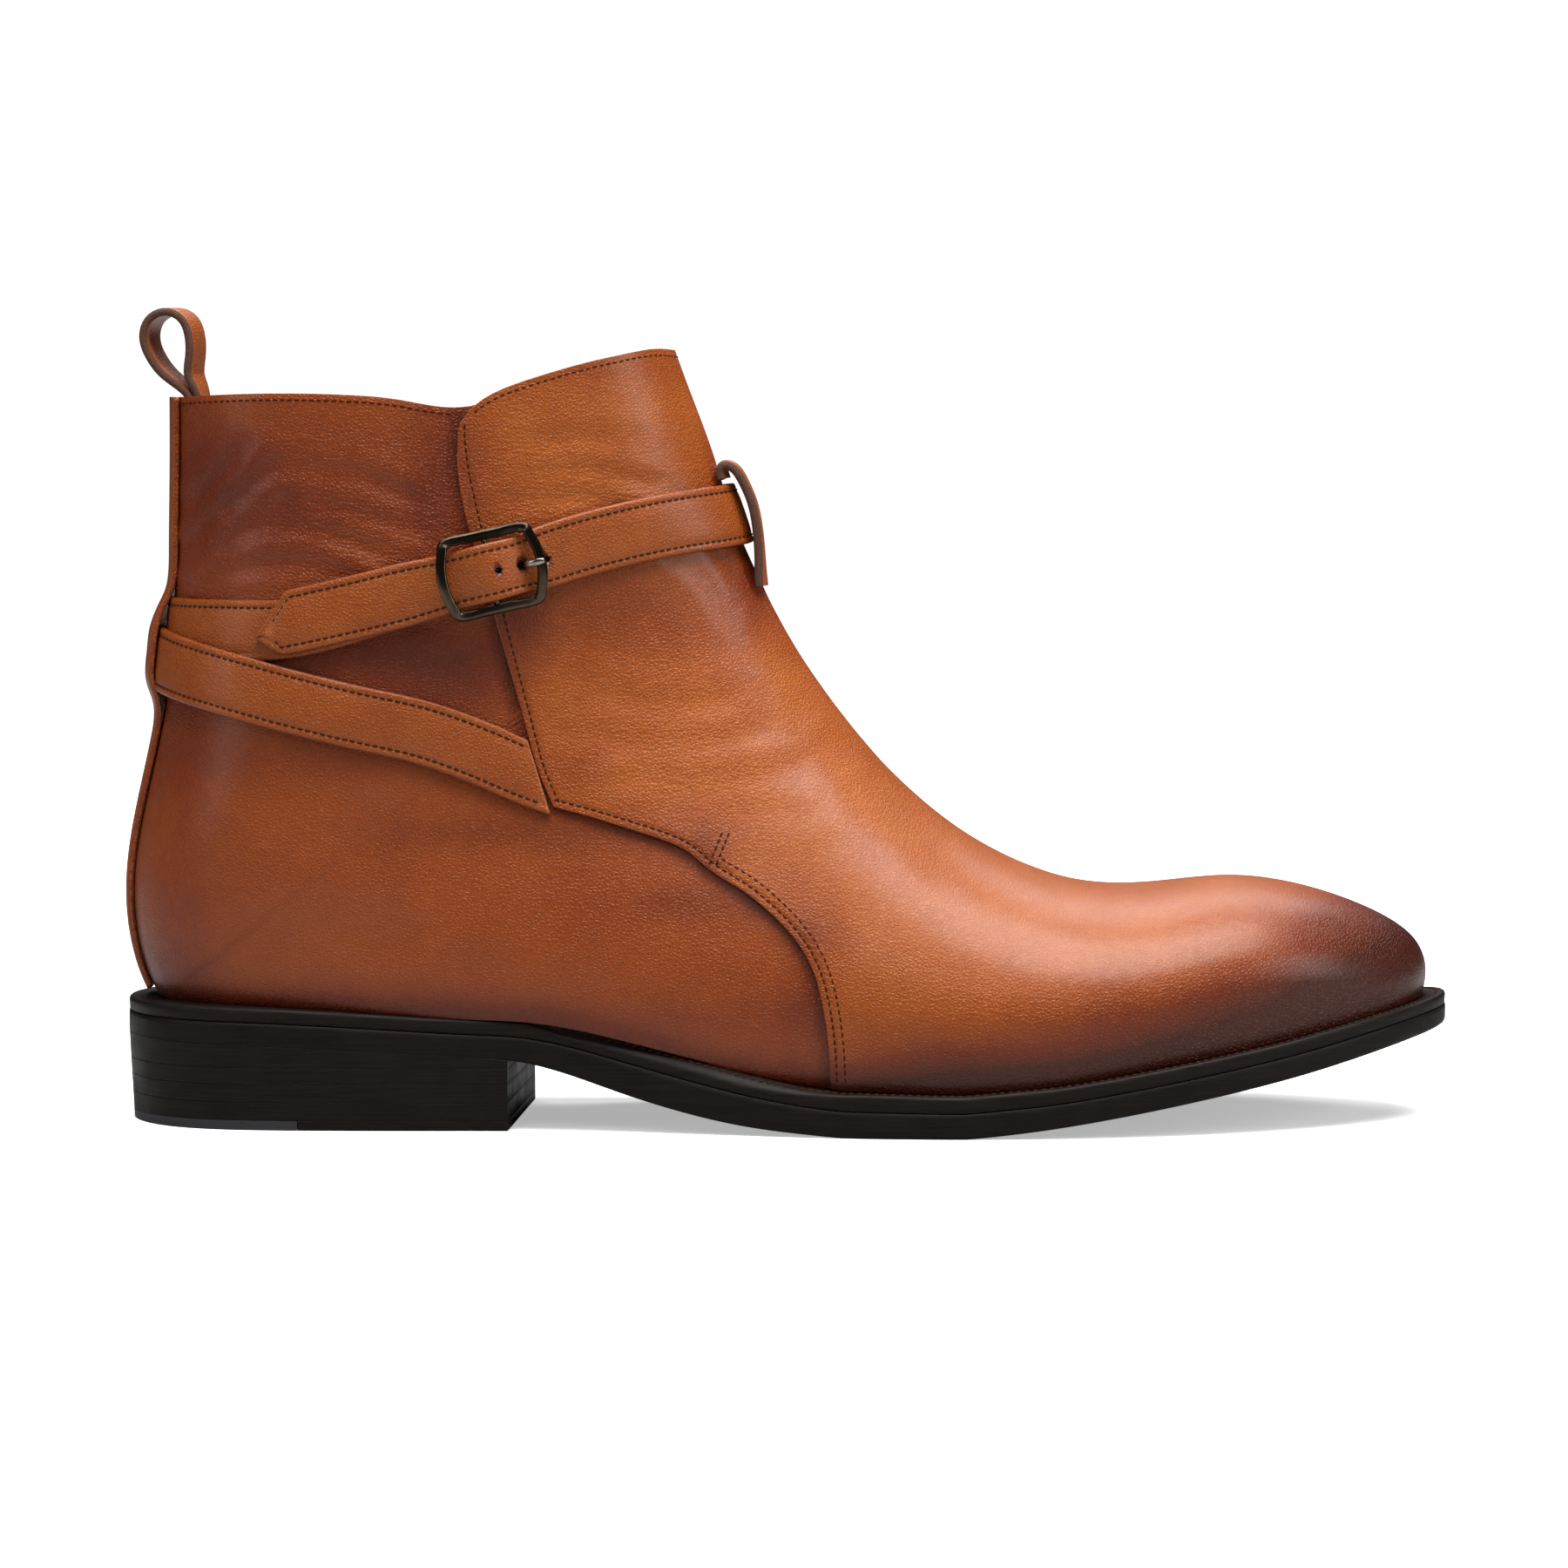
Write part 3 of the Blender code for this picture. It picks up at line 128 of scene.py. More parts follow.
PANEL_LINE = (
    (40.0, 150.0), (44.0, 157.4), (45.6, 160.9), (48.2, 164.4), (52.0, 167.2), (56.8, 169.4), (64.3, 171.9),
    (74.2, 174.7), (84.2, 176.9), (90.0, 177.7), (97.0, 176.6),
)

# Straps: turn about the shaft from the toe, middle height, height of the inner face over the skin,
# half width, and how far the end is cut aslant
SHAFT_AXIS_X = 40.0
STRAP_COLUMNS = ("turn", "z", "layer", "half", "slant")
LONG_STRAP = (
    (54.6, 80.7, -1.4, 7.2, 0.76), (64.0, 83.6, -1.4, 7.2, 0.4), (75.0, 86.7, -1.4, 7.2, 0.0),
    (95.0, 91.0, -1.4, 7.2, 0.0), (115.0, 94.0, -1.4, 7.2, 0.0), (134.0, 97.5, -1.0, 7.2, 0.0),
    (150.0, 101.2, 0.1, 7.2, 0.0), (168.0, 105.2, 0.1, 7.2, 0.0), (180.0, 106.6, 0.1, 7.2, 0.0),
    (195.0, 107.6, 0.1, 7.2, 0.0), (225.0, 112.0, -1.2, 7.2, 0.0), (255.0, 119.0, -1.2, 7.2, 0.0),
    (285.0, 125.0, 0.3, 7.2, 0.0), (310.0, 130.0, 0.4, 7.2, 0.0), (335.0, 135.5, 0.4, 7.2, 0.0),
    (350.0, 138.2, 0.8, 7.2, 0.0), (360.0, 139.0, 1.0, 7.2, 0.0), (372.0, 138.3, 0.7, 7.2, 0.0),
    (385.0, 136.2, 0.4, 7.2, 0.0), (402.0, 132.5, 0.4, 7.2, 0.0), (412.0, 130.2, 1.0, 7.0, 0.0),
    (420.0, 128.8, 2.5, 6.5, 0.0), (429.0, 127.4, 4.0, 6.6, 0.0), (439.0, 125.8, 2.5, 6.5, 0.0),
    (450.0, 124.0, 0.7, 6.8, 0.0), (463.0, 122.0, 0.3, 7.2, 0.0), (480.0, 119.2, 0.1, 7.2, 0.0),
    (492.0, 117.0, 0.1, 7.2, 0.0), (506.5, 114.2, 0.1, 7.2, 0.0),
)
BUCKLE_STRAP = (
    (181.0, 113.6, -1.4, 7.0, 0.0), (168.0, 113.6, -1.4, 7.0, 0.0), (150.0, 113.7, -1.4, 7.0, 0.0),
    (134.0, 115.0, -1.4, 6.6, 0.0), (115.0, 119.0, -1.4, 6.4, 0.0), (98.0, 122.0, -1.4, 6.4, 0.0),
    (84.0, 124.5, -0.4, 6.2, 0.0), (76.0, 126.0, 0.3, 6.2, 0.0), (71.5, 126.8, 0.3, 6.2, 0.0),
)
STRAP_THICKNESS = 1.6
BUCKLE_STRAP_THICKNESS = 1.1
# The long strap's point: how far from its very end each edge starts to turn in, and where the point lies
TIP_HIGH = 9.3
TIP_LOW = 6.2
TIP_AT = -2.2
TIP_BLUNT = 0.05
STRAP_HALF = 7.2

BACK_STRIP = (
    (28.0, -1.4), (60.0, -1.4), (80.0, -1.4), (88.0, -1.4), (92.5, -1.2), (96.0, -0.3), (99.5, 1.5),
    (103.0, 2.4), (108.0, 2.5), (112.0, 2.4), (115.5, 1.7), (119.0, 0.4), (122.0, -0.8), (126.0, -1.4),
    (132.0, -1.4), (150.0, -1.4), (166.0, -1.4),
)
BACK_STRIP_WIDTH = 15.0
BACK_STRIP_THICKNESS = 1.4

LOOP_COLUMNS = ("x", "z", "turned")
PULL_LOOP = (
    (-16.4, 152.0, 0.0), (-16.5, 160.0, 0.0), (-17.0, 165.6, 3.0), (-19.6, 169.0, 7.0), (-23.2, 172.0, 9.0),
    (-26.0, 175.8, 9.0), (-27.4, 180.0, 9.0), (-26.2, 184.2, 9.0), (-22.4, 186.1, 9.0), (-18.6, 184.4, 9.0),
    (-17.0, 180.4, 9.0), (-16.9, 176.0, 9.0), (-17.2, 171.8, 9.0), (-15.8, 167.8, 6.0), (-14.3, 160.0, 0.0),
    (-14.1, 152.0, 0.0),
)
LOOP_WIDTH = 14.0
LOOP_THICKNESS = 1.8
KEEPER_COLUMNS = ("x", "z", "cup")
KEEPER = (
    (104.1, 147.6, 1.6), (103.8, 149.5, 1.4), (105.0, 150.8, 1.0), (107.4, 149.8, 0.7), (109.7, 146.2, 0.5),
    (111.6, 141.2, 0.5), (112.6, 135.0, 0.6), (112.9, 129.5, 0.8), (112.8, 125.8, 1.2), (112.9, 123.0, 1.4),
)
KEEPER_WIDTH = 13.0
KEEPER_THICKNESS = 2.0

# Buckle
BUCKLE_CENTRE = (69.0, 127.4)
BUCKLE_RISE = 12.3
FRAME_QUARTER = ((0.0, 9.7), (4.6, 9.7), (8.8, 9.6), (10.4, 8.9), (11.2, 7.2), (12.1, 4.2), (12.6, 0.0))
FRAME_BAR = 2.3
FRAME_THICKNESS = 1.7
FRAME_LIFT = 1.7
FRAME_BOW = 2.5
CENTRE_BAR = 1.3
BAR_LIFT = 2.4
PRONG = ((1.1, 2.3), (3.8, 2.0), (6.0, 1.6), (7.0, 2.1), (7.6, 3.4), (8.3, 4.7), (9.6, 5.9), (12.0, 6.9))
PRONG_WIDTH = 1.6
PRONG_THICKNESS = 0.9
# Holes in the strap, forward of the buckle's middle, and their radii
HOLES = ((1.5, 0.75), (7.3, 1.25), (13.2, 0.75))
PUNCH_LENGTH = 14.0

# Stitches: one is a short round-ended bar; the rows lie this far in from their edges
STITCH_PITCH = 1.75
STITCH_LENGTH = 1.32
THREAD = 0.52
EDGE_TO_STITCH = 1.5
SECOND_ROW = 1.9
TACK_LOW = (101.9, 61.0)
TACK_HIGH = (104.8, 68.0)
TACK_SPACING = 1.6
STRAP_EDGE_TO_STITCH = 1.75
# Along the strap's slanting point a row lies this much further in, measured across the strap
TIP_SLOPE = 1.45

# Creases in the quarters, as side-view lines: points, width and depth
QUARTER_CREASES = (
    (((-14, 130), (-6, 136), (4, 138), (16, 136), (30, 131)), 2.6, 0.55),
    (((-18, 122), (-8, 127), (4, 129), (18, 127), (30, 122)), 2.4, 0.40),
    (((-8, 141), (4, 143), (16, 142), (28, 139), (40, 136)), 2.4, 0.45),
    (((2, 151), (12, 150), (24, 147), (38, 143)), 2.8, 0.35),
    (((-21, 130), (-15, 137), (-7, 144), (2, 151)), 2.2, 0.75),
    (((-20, 139), (-13, 147), (-5, 155)), 2.4, 0.50),
    (((20, 152), (30, 146), (40, 139)), 2.2, 0.25),
    (((-20, 118), (-10, 121), (0, 122)), 2.0, 0.30),
    (((26, 124), (34, 117), (42, 113)), 2.0, 0.25),
    (((-6, 40), (20, 46), (50, 44)), 7.0, 0.35),
    (((10, 70), (40, 62), (70, 56)), 9.0, 0.30),
)
# Creases in the front panel, in the same way
PANEL_CREASES = (
    (((52, 141), (62, 144), (74, 144), (86, 140)), 2.6, 0.35),
    (((56, 147), (68, 150), (80, 149), (92, 145)), 2.6, 0.30),
    (((60, 155), (72, 157), (84, 156)), 3.0, 0.22),
    (((70, 137), (82, 140), (94, 138), (102, 134)), 2.0, 0.28),
    (((72, 101), (84, 97), (98, 96), (112, 99)), 3.4, 0.35),
    (((70, 93), (86, 89), (104, 89), (120, 93)), 3.6, 0.32),
    (((80, 84), (98, 80), (118, 82), (130, 85)), 3.8, 0.28),
    (((84, 76), (104, 73), (124, 75)), 4.0, 0.22),
    (((100, 132), (106, 128), (109, 122)), 2.2, 0.35),
    (((94, 131), (101, 125), (106, 117)), 2.4, 0.28),
    (((132, 60), (136, 45), (134, 28)), 7.0, 0.25),
    (((146, 58), (151, 42), (149, 26)), 8.0, 0.20),
    (((160, 52), (166, 36), (163, 22)), 9.0, 0.18),
)

# Burnish: how deep it is all over. Soft spots in side view darken the leather further, partly as burnishing
# and partly as painted shade: x, z, reach in x, reach in z, amount
QUARTER_BURNISH = 0.32
PANEL_BURNISH = 0.19
STRAP_BURNISH = 0.22
STRAP_EDGE_BURNISH = 0.16
STRAP_WRINKLE = 0.12
# Painted shade among the quarters' spots: the thin bands at z 68, 84, 106 and 108 under and between the
# straps, the spots at x 41 and 122 beside the front panel's raised edge, the tall band at x -18 beside the
# back strip, and the band at z 27 just above the welt, which is partly burnishing too
QUARTER_DARK = (
    (-8, 149, 15, 14, 0.34), (26, 146, 20, 14, 0.16), (41, 150, 7, 24, 0.26), (-18, 90, 8, 60, 0.16),
    (10, 132, 28, 18, 0.16), (44, 104, 18, 11, 0.32), (28, 108, 24, 6, 0.28), (8, 106, 20, 5, 0.2),
    (50, 27, 90, 6, 0.18), (-28, 34, 12, 12, 0.2), (122, 22, 8, 26, 0.16), (100, 52, 26, 5, 0.2),
    (60, 68, 34, 4, 0.2), (10, 84, 40, 5, 0.16),
)
# Painted shade among the front panel's spots: the low bands along the vamp's lower side from x 150 to 250,
# added to the toe's burnishing there, the spot at x 84 under the straps, and those at x 106 and 112 round the
# keeper
PANEL_DARK = (
    (268, 34, 16, 20, 0.76), (250, 27, 28, 13, 0.58), (222, 24, 50, 12, 0.42), (246, 34, 20, 12, 0.22),
    (170, 14, 60, 9, 0.18), (246, 47, 18, 6, 0.34), (225, 16, 34, 9, 0.52), (190, 13, 40, 7, 0.38),
    (150, 14, 30, 7, 0.3), (48, 150, 5, 22, 0.26), (58, 112, 6, 28, 0.26), (70, 80, 9, 9, 0.18),
    (96, 68, 14, 7, 0.2), (124, 46, 8, 10, 0.26), (84, 118, 34, 13, 0.3), (106, 150, 6, 16, 0.21),
    (112, 128, 6, 14, 0.26), (76, 174, 30, 4, 0.14), (102, 63, 5, 7, 0.2),
)
PANEL_WRINKLES = (
    (78, 145, 28, 9, 1.0), (100, 130, 12, 10, 0.9), (94, 90, 28, 12, 0.45), (112, 78, 24, 10, 0.35),
    (135, 76, 18, 10, 0.3), (60, 160, 14, 10, 0.4), (165, 45, 22, 14, 0.15),
)
QUARTER_WRINKLES = (
    (6, 138, 26, 16, 0.9), (30, 128, 16, 16, 0.7), (-16, 128, 8, 16, 0.8), (20, 158, 22, 8, 0.3),
)


def spline(knots, values):
    """Natural cubic spline through the values, as a function of an array."""
    x, y = np.asarray(knots, float), np.asarray(values, float)
    count, step = len(x), np.diff(x)
    matrix, right = np.eye(count), np.zeros(count)
    for i in range(1, count - 1):
        matrix[i, i - 1 : i + 2] = step[i - 1], 2 * (step[i - 1] + step[i]), step[i]
        right[i] = 6 * ((y[i + 1] - y[i]) / step[i] - (y[i] - y[i - 1]) / step[i - 1])
    bend = np.linalg.solve(matrix, right)

    def value(t):
        t = np.asarray(t, float)
        i = np.clip(np.searchsorted(x, t) - 1, 0, count - 2)
        h, left, past = step[i], x[i + 1] - t, t - x[i]
        curved = (bend[i] * left**3 + bend[i + 1] * past**3) / (6 * h)
        return curved + (y[i] / h - bend[i] * h / 6) * left + (y[i + 1] / h - bend[i + 1] * h / 6) * past

    return value


def tracks(columns, rows, first=0):
    """A spline for each named column against the number of the row."""
    rows = np.array(rows, float)
    knots = np.arange(first, first + len(rows))
    return {name: spline(knots, rows[:, i]) for i, name in enumerate(columns)}


def last_tracks():
    """The toe is a pole, so the rows run on through it, turned over and with their sides exchanged."""
    turned = [
        (r[2], r[3], r[0], r[1], r[5], r[4], r[6], 1 - r[7], r[9], r[8]) for r in (SECTIONS[2], SECTIONS[1])
    ]
    return tracks(SECTION_COLUMNS, turned + list(SECTIONS), first=-2)


def plan_tracks():
    """The plan of the sole runs on round the heel and the toe with its sides exchanged."""
    before = [(x, medial, lateral) for x, lateral, medial in (SOLE_PLAN[2], SOLE_PLAN[1])]
    after = [(x, medial, lateral) for x, lateral, medial in (SOLE_PLAN[-2], SOLE_PLAN[-3])]
    return tracks(SOLE_COLUMNS, before + list(SOLE_PLAN) + after, first=-2)


LAST = last_tracks()
PLAN = plan_tracks()
EDGE_X, EDGE_UNDERSIDE, EDGE_THICKNESS = zip(*SOLE_EDGE)
UNDERSIDE_CURVE = spline(EDGE_X, EDGE_UNDERSIDE)
THICKNESS_CURVE = spline(EDGE_X, EDGE_THICKNESS)
COLLAR_CURVE = spline(*zip(*COLLAR_LINE))
PANEL_CURVE = spline(*zip(*PANEL_LINE))


def smooth(t):
    """0 before 0, 1 after 1, and a soft step between."""
    t = np.clip(t, 0, 1)
    return t * t * (3 - 2 * t)


def underside(x):
    """Height of the sole's lower face."""
    return np.maximum(UNDERSIDE_CURVE(x), 0.0)


def outsole_top(x):
    """Height of the joint between outsole and welt, on the outsole."""
    return underside(x) + (1 - WELT_SHARE) * THICKNESS_CURVE(x) - GAP / 2


def welt_bottom(x):
    """Height of the welt's lower face."""
    return outsole_top(x) + GAP


def welt_top(x):
    """Height of the welt's upper face."""
    return underside(x) + THICKNESS_CURVE(x)


def collar_shift(x):
    """How far the collar's line stands over the last section's straight line."""
    front, back = SECTIONS[-1][0:2], SECTIONS[-1][2:4]
    return COLLAR_CURVE(x) - back[1] - (x - back[0]) * (front[1] - back[1]) / (front[0] - back[0])


def medial_drop(angles):
    """How much lower the collar lies on the inner side."""
    return np.where(angles < 0, MEDIAL_COLLAR_DROP * np.abs(np.sin(angles)), 0.0)


def form(section, angle):
    """Points of the boot's skin: section 0 is the toe, angle 0 the top line and pi the low line."""
    section, angle = np.broadcast_arrays(np.asarray(section, float), np.asarray(angle, float))
    angle = (angle + math.pi) % (2 * math.pi) - math.pi
    row = {name: track(section) for name, track in LAST.items()}
    c, s = np.cos(angle), np.abs(np.sin(angle))
    above = c >= 0
    power = np.where(above, row["top_power"], row["low_power"])
    reach = (np.abs(c) ** power + s**power) ** (-1 / power)
    share = np.where(above, row["widest"], 1 - row["widest"])
    down = row["widest"] - share * reach * c
    side = np.where(angle >= 0, row["lateral"], row["medial"])
    middle = row["ridge"] * (1 - down * smooth(section / 5))
    x = row["top_x"] + down * (row["low_x"] - row["top_x"])
    y = middle + (side - middle) * reach * s
    z = row["top_z"] + down * (row["low_z"] - row["top_z"])
    bend = smooth((section - LAST_SECTION + COLLAR_BLEND) / COLLAR_BLEND)
    return np.stack([x, y, z + bend * (collar_shift(x) - medial_drop(angle))], -1)


def skin_and_normal(section, angle):
    """Points of the skin with their outward normals."""
    tiny = 1e-3
    points = form(section, angle)
    along = form(section + tiny, angle) - form(section - tiny, angle)
    around = form(section, angle + tiny) - form(section, angle - tiny)
    normal = np.cross(along, around)
    size = np.linalg.norm(normal, axis=-1, keepdims=True)
    at_toe = size < 1e-9
    normal = np.where(at_toe, np.array([1.0, 0.0, 0.0]), normal / np.where(at_toe, 1.0, size))
    return points, normal


def skin(section, angle, depth=0.0):
    """form() moved inwards by depth, which may be an array."""
    points, normal = skin_and_normal(section, angle)
    return points - normal * np.asarray(depth, float)[..., None]


def bisect(low, high, passed, rounds=32):
    """Arrays of the places between low and high after which passed() is true."""
    for _ in range(rounds):
        middle = (low + high) / 2
        over = passed(middle)
        low, high = np.where(over, low, middle), np.where(over, middle, high)
    return high


def feather_angle(section, side, depth):
    """The angle at which a wall meets the welt, or pi where a section stays above it."""
    def under_welt(angle):
        point = skin(section, side * angle, depth)
        return point[..., 2] < welt_top(point[..., 0]) + 0.1

    quarter, half = np.full(section.shape, math.pi / 2), np.full(section.shape, math.pi)
    found = bisect(quarter, half, under_welt)
    return np.where(under_welt(half - 1e-6), found, math.pi)


def closing_section(low, high, depth, towards_toe):
    """The section between low and high at which a wall stops meeting the welt."""
    def passed(section):
        closed = feather_angle(section, 1, depth) >= math.pi
        return ~closed if towards_toe else closed

    return float(bisect(np.array([low]), np.array([high]), passed, 24)[0])


def section_through(points):
    """Numbers of the sections whose planes pass through points of the side view."""
    x, z = np.asarray(points, float).T

    def passed(section):
        top_x, top_z = LAST["top_x"](section), LAST["top_z"](section)
        low_x, low_z = LAST["low_x"](section), LAST["low_z"](section)
        return (low_x - top_x) * (z - top_z) - (low_z - top_z) * (x - top_x) > 0

    return bisect(np.full(x.shape, 4.0), np.full(x.shape, 22.0), passed)


def walked_along(path):
    """Distance along a path at each of its points."""
    return np.concatenate([[0], np.cumsum(np.linalg.norm(np.diff(path, axis=0), axis=1))])


def directions(path):
    """Unit vectors along an open path."""
    along = np.gradient(path, axis=0)
    return along / np.linalg.norm(along, axis=1, keepdims=True)


def even(points, spacing):
    """Points a fixed distance apart along a smooth curve through the given ones."""
    points = np.array(points, float)
    length = walked_along(points)
    curves = [spline(length, points[:, i]) for i in range(points.shape[1])]
    fine = np.linspace(0, length[-1], 40 * len(points))
    path = np.stack([curve(fine) for curve in curves], 1)
    walked = walked_along(path)
    steps = np.linspace(0, walked[-1], max(2, int(round(walked[-1] / spacing)) + 1))
    return np.stack([np.interp(steps, walked, path[:, i]) for i in range(path.shape[1])], 1)


SEAM = np.vstack([even(SEAM_LOW, 1.0), even(SEAM_FLAP, 1.0)[1:]])


def seam_table():
    """Section numbers along the panel's seam, and its angle in each, on either side."""
    sections = section_through(SEAM)
    order = np.argsort(sections)
    sections = sections[order]
    x = SEAM[order, 0]

    def behind(angle):
        return form(sections, angle)[:, 0] < x

    quarter = bisect(np.full(x.shape, 0.05), np.full(x.shape, math.pi - 0.01), behind)
    return sections, quarter


SEAM_SECTION, SEAM_ANGLE = seam_table()


def line_distance(points, line):
    """Distance in side view from each point to a line of points."""
    flat = points[..., [0, 2]].reshape(-1, 2)
    line = np.asarray(line, float)
    best = np.full(len(flat), 1e9)
    for a, b in zip(line, line[1:]):
        step = b - a
        share = np.clip(((flat - a) @ step) / max(step @ step, 1e-9), 0, 1)
        gap = np.hypot(*(flat - a - share[:, None] * step).T)
        best = np.minimum(best, gap)
    return best.reshape(points.shape[:-1])


def crease_depth(points, creases):
    """Soft troughs with a low ridge on either side, fading towards the ends of each line."""
    depth = np.zeros(points.shape[:-1])
    for line, width, deep in creases:
        line = even(line, 2.0)
        gap = line_distance(points, line) / width
        ends = np.minimum(
            np.hypot(points[..., 0] - line[0][0], points[..., 2] - line[0][1]),
            np.hypot(points[..., 0] - line[-1][0], points[..., 2] - line[-1][1]),
        )
        depth += deep * (np.exp(-gap**2) - 0.45 * np.exp(-((gap - 1.7) ** 2))) * smooth(ends / (2.2 * width))
    return depth


def spots(points, rows):
    """Sum of soft spots in side view."""
    total = np.zeros(points.shape[:-1])
    for x, z, reach_x, reach_z, amount in rows:
        across, up = (points[..., 0] - x) / reach_x, (points[..., 2] - z) / reach_z
        total += amount * np.exp(-(across**2) - up**2)
    return total


def linear(hex_colour):
    """An sRGB hex colour as linear red, green, blue and 1."""
    channels = [int(hex_colour[i : i + 2], 16) / 255 for i in (1, 3, 5)]
    return tuple(c / 12.92 if c <= 0.04045 else ((c + 0.055) / 1.055) ** 2.4 for c in channels) + (1.0,)


def add(tree, kind, settings=None, **links):
    """A node of a kind, with its settings and its inputs, which are values or other nodes' outputs."""
    node = tree.nodes.new(kind)
    for name, value in (settings or {}).items():
        setattr(node, name, value)
    for name, value in links.items():
        key = int(name[1:]) if name[0] == "_" else name.replace("_", " ")
        if isinstance(value, bpy.types.NodeSocket):
            tree.links.new(value, node.inputs[key])
        else:
            node.inputs[key].default_value = value
    return node


def start_material(name):
    """A material with its node tree, its shader and the place on the piece."""
    material = bpy.data.materials.new(name)
    material.use_nodes = True
    tree = material.node_tree
    tree.nodes.clear()
    shader = add(tree, "ShaderNodeBsdfPrincipled")
    output = add(tree, "ShaderNodeOutputMaterial")
    tree.links.new(shader.outputs[0], output.inputs["Surface"])
    where = add(tree, "ShaderNodeTexCoord").outputs["Object"]
    return material, tree, shader, where


def mix(tree, factor, first, second, blend="MIX"):
    """A blend of two colours by a factor."""
    node = add(tree, "ShaderNodeMix", {"data_type": "RGBA", "blend_type": blend})
    for key, value in ((0, factor), (6, first), (7, second)):
        if isinstance(value, bpy.types.NodeSocket):
            tree.links.new(value, node.inputs[key])
        else:
            node.inputs[key].default_value = value
    return node.outputs[2]


def maths(tree, operation, first, second=0.0, clamp=False):
    """One calculation with two values, each a number or a socket."""
    settings = {"operation": operation, "use_clamp": clamp}
    return add(tree, "ShaderNodeMath", settings, _0=first, _1=second).outputs[0]


def calf(name, light, middle, red, dark, rough=0.36):
    """Aniline calf, drum-dyed and burnished by hand: clear colour, fine pores, soft gloss, darker edges.

    The piece's own colour attribute holds burnishing and painted shade in red, and wrinkles in green.
    """
    material, tree, shader, where = start_material(name)
    patina_and_shade = add(tree, "ShaderNodeAttribute", {"attribute_name": "patina_and_shade"})
    parts = add(tree, "ShaderNodeSeparateColor", _0=patina_and_shade.outputs["Color"])
    burnish_and_shade, wrinkle = parts.outputs[0], parts.outputs[1]
    # dye takes unevenly over about 14 mm, and again over about 3 mm
    cloud = add(tree, "ShaderNodeTexNoise", Vector=where, Scale=1000 / 14, Detail=4.0, Roughness=0.6)
    fleck = add(tree, "ShaderNodeTexNoise", Vector=where, Scale=1000 / 3, Detail=5.0, Roughness=0.7)
    cloud, fleck = cloud.outputs[0], fleck.outputs[0]
    uneven = maths(tree, "MULTIPLY", maths(tree, "SUBTRACT", cloud, 0.5), 0.30)
    specks = maths(tree, "MULTIPLY", maths(tree, "SUBTRACT", fleck, 0.5), 0.16)
    # the red channel darkens the dye by burnishing and by painted shade
    level = maths(tree, "ADD", maths(tree, "ADD", burnish_and_shade, uneven), specks, clamp=True)
    ramp = add(tree, "ShaderNodeValToRGB", _0=level)
    stops = ramp.color_ramp.elements
    stops[0].position, stops[0].color = 0.0, linear(light)
    stops[1].position, stops[1].color = 1.0, linear(dark)
    for position, colour in ((0.28, middle), (0.62, red)):
        stop = stops.new(position)
        stop.color = linear(colour)
    tree.links.new(ramp.outputs[0], shader.inputs["Base Color"])
    # pores about 0.85 mm apart, drawn as the cells' soft edges
    cells = {"feature": "DISTANCE_TO_EDGE"}
    soft = {"interpolation_type": "SMOOTHSTEP"}
    pores = add(tree, "ShaderNodeTexVoronoi", cells, Vector=where, Scale=1000 / 0.85)
    pore = add(tree, "ShaderNodeMapRange", soft, Value=pores.outputs[0], From_Max=0.3)
    fine = add(tree, "ShaderNodeTexNoise", Vector=where, Scale=1000 / 0.45, Detail=3.0)
    # wrinkles about 1.5 mm apart and some four times as long, wandering
    bent = add(tree, "ShaderNodeTexNoise", Vector=where, Scale=1000 / 9, Detail=2.0)
    offset = add(tree, "ShaderNodeVectorMath", {"operation": "SCALE"}, _0=bent.outputs["Color"], Scale=0.003)
    moved = add(tree, "ShaderNodeVectorMath", {"operation": "ADD"}, _0=where, _1=offset.outputs[0])
    turned = add(tree, "ShaderNodeMapping", Vector=moved.outputs[0], Rotation=(0.0, 0.18, 0.0),
                 Scale=(0.24, 0.4, 1.0))
    lines = add(tree, "ShaderNodeTexVoronoi", cells, Vector=turned.outputs[0], Scale=1000 / 1.5)
    line = add(tree, "ShaderNodeMapRange", soft, Value=lines.outputs[0], From_Max=0.24)
    crease = maths(tree, "MULTIPLY", maths(tree, "SUBTRACT", 1.0, line.outputs[0]), wrinkle)
    grain = maths(tree, "ADD", maths(tree, "MULTIPLY", pore.outputs[0], 0.55),
                  maths(tree, "MULTIPLY", fine.outputs[0], 0.45))
    fine_bump = add(tree, "ShaderNodeBump", Height=grain, Strength=0.8, Distance=0.00026)
    sunk = maths(tree, "SUBTRACT", 0.0, crease)
    bump = add(tree, "ShaderNodeBump", Height=sunk, Strength=0.3, Distance=0.0003,
               Normal=fine_bump.outputs[0])
    tree.links.new(bump.outputs[0], shader.inputs["Normal"])
    gloss = maths(tree, "ADD", rough, maths(tree, "MULTIPLY", maths(tree, "SUBTRACT", fleck, 0.5), 0.16))
    gloss = maths(tree, "SUBTRACT", gloss, maths(tree, "MULTIPLY", burnish_and_shade, 0.05))
    tree.links.new(gloss, shader.inputs["Roughness"])
    shader.inputs["IOR"].default_value = 1.5
    shader.inputs["Specular IOR Level"].default_value = 0.35
    # the filled grain side reflects warm, and the wax over it white
    shader.inputs["Specular Tint"].default_value = (1.0, 0.66, 0.46, 1.0)
    shader.inputs["Coat Weight"].default_value = 0.36
    shader.inputs["Coat Roughness"].default_value = 0.3
    return material


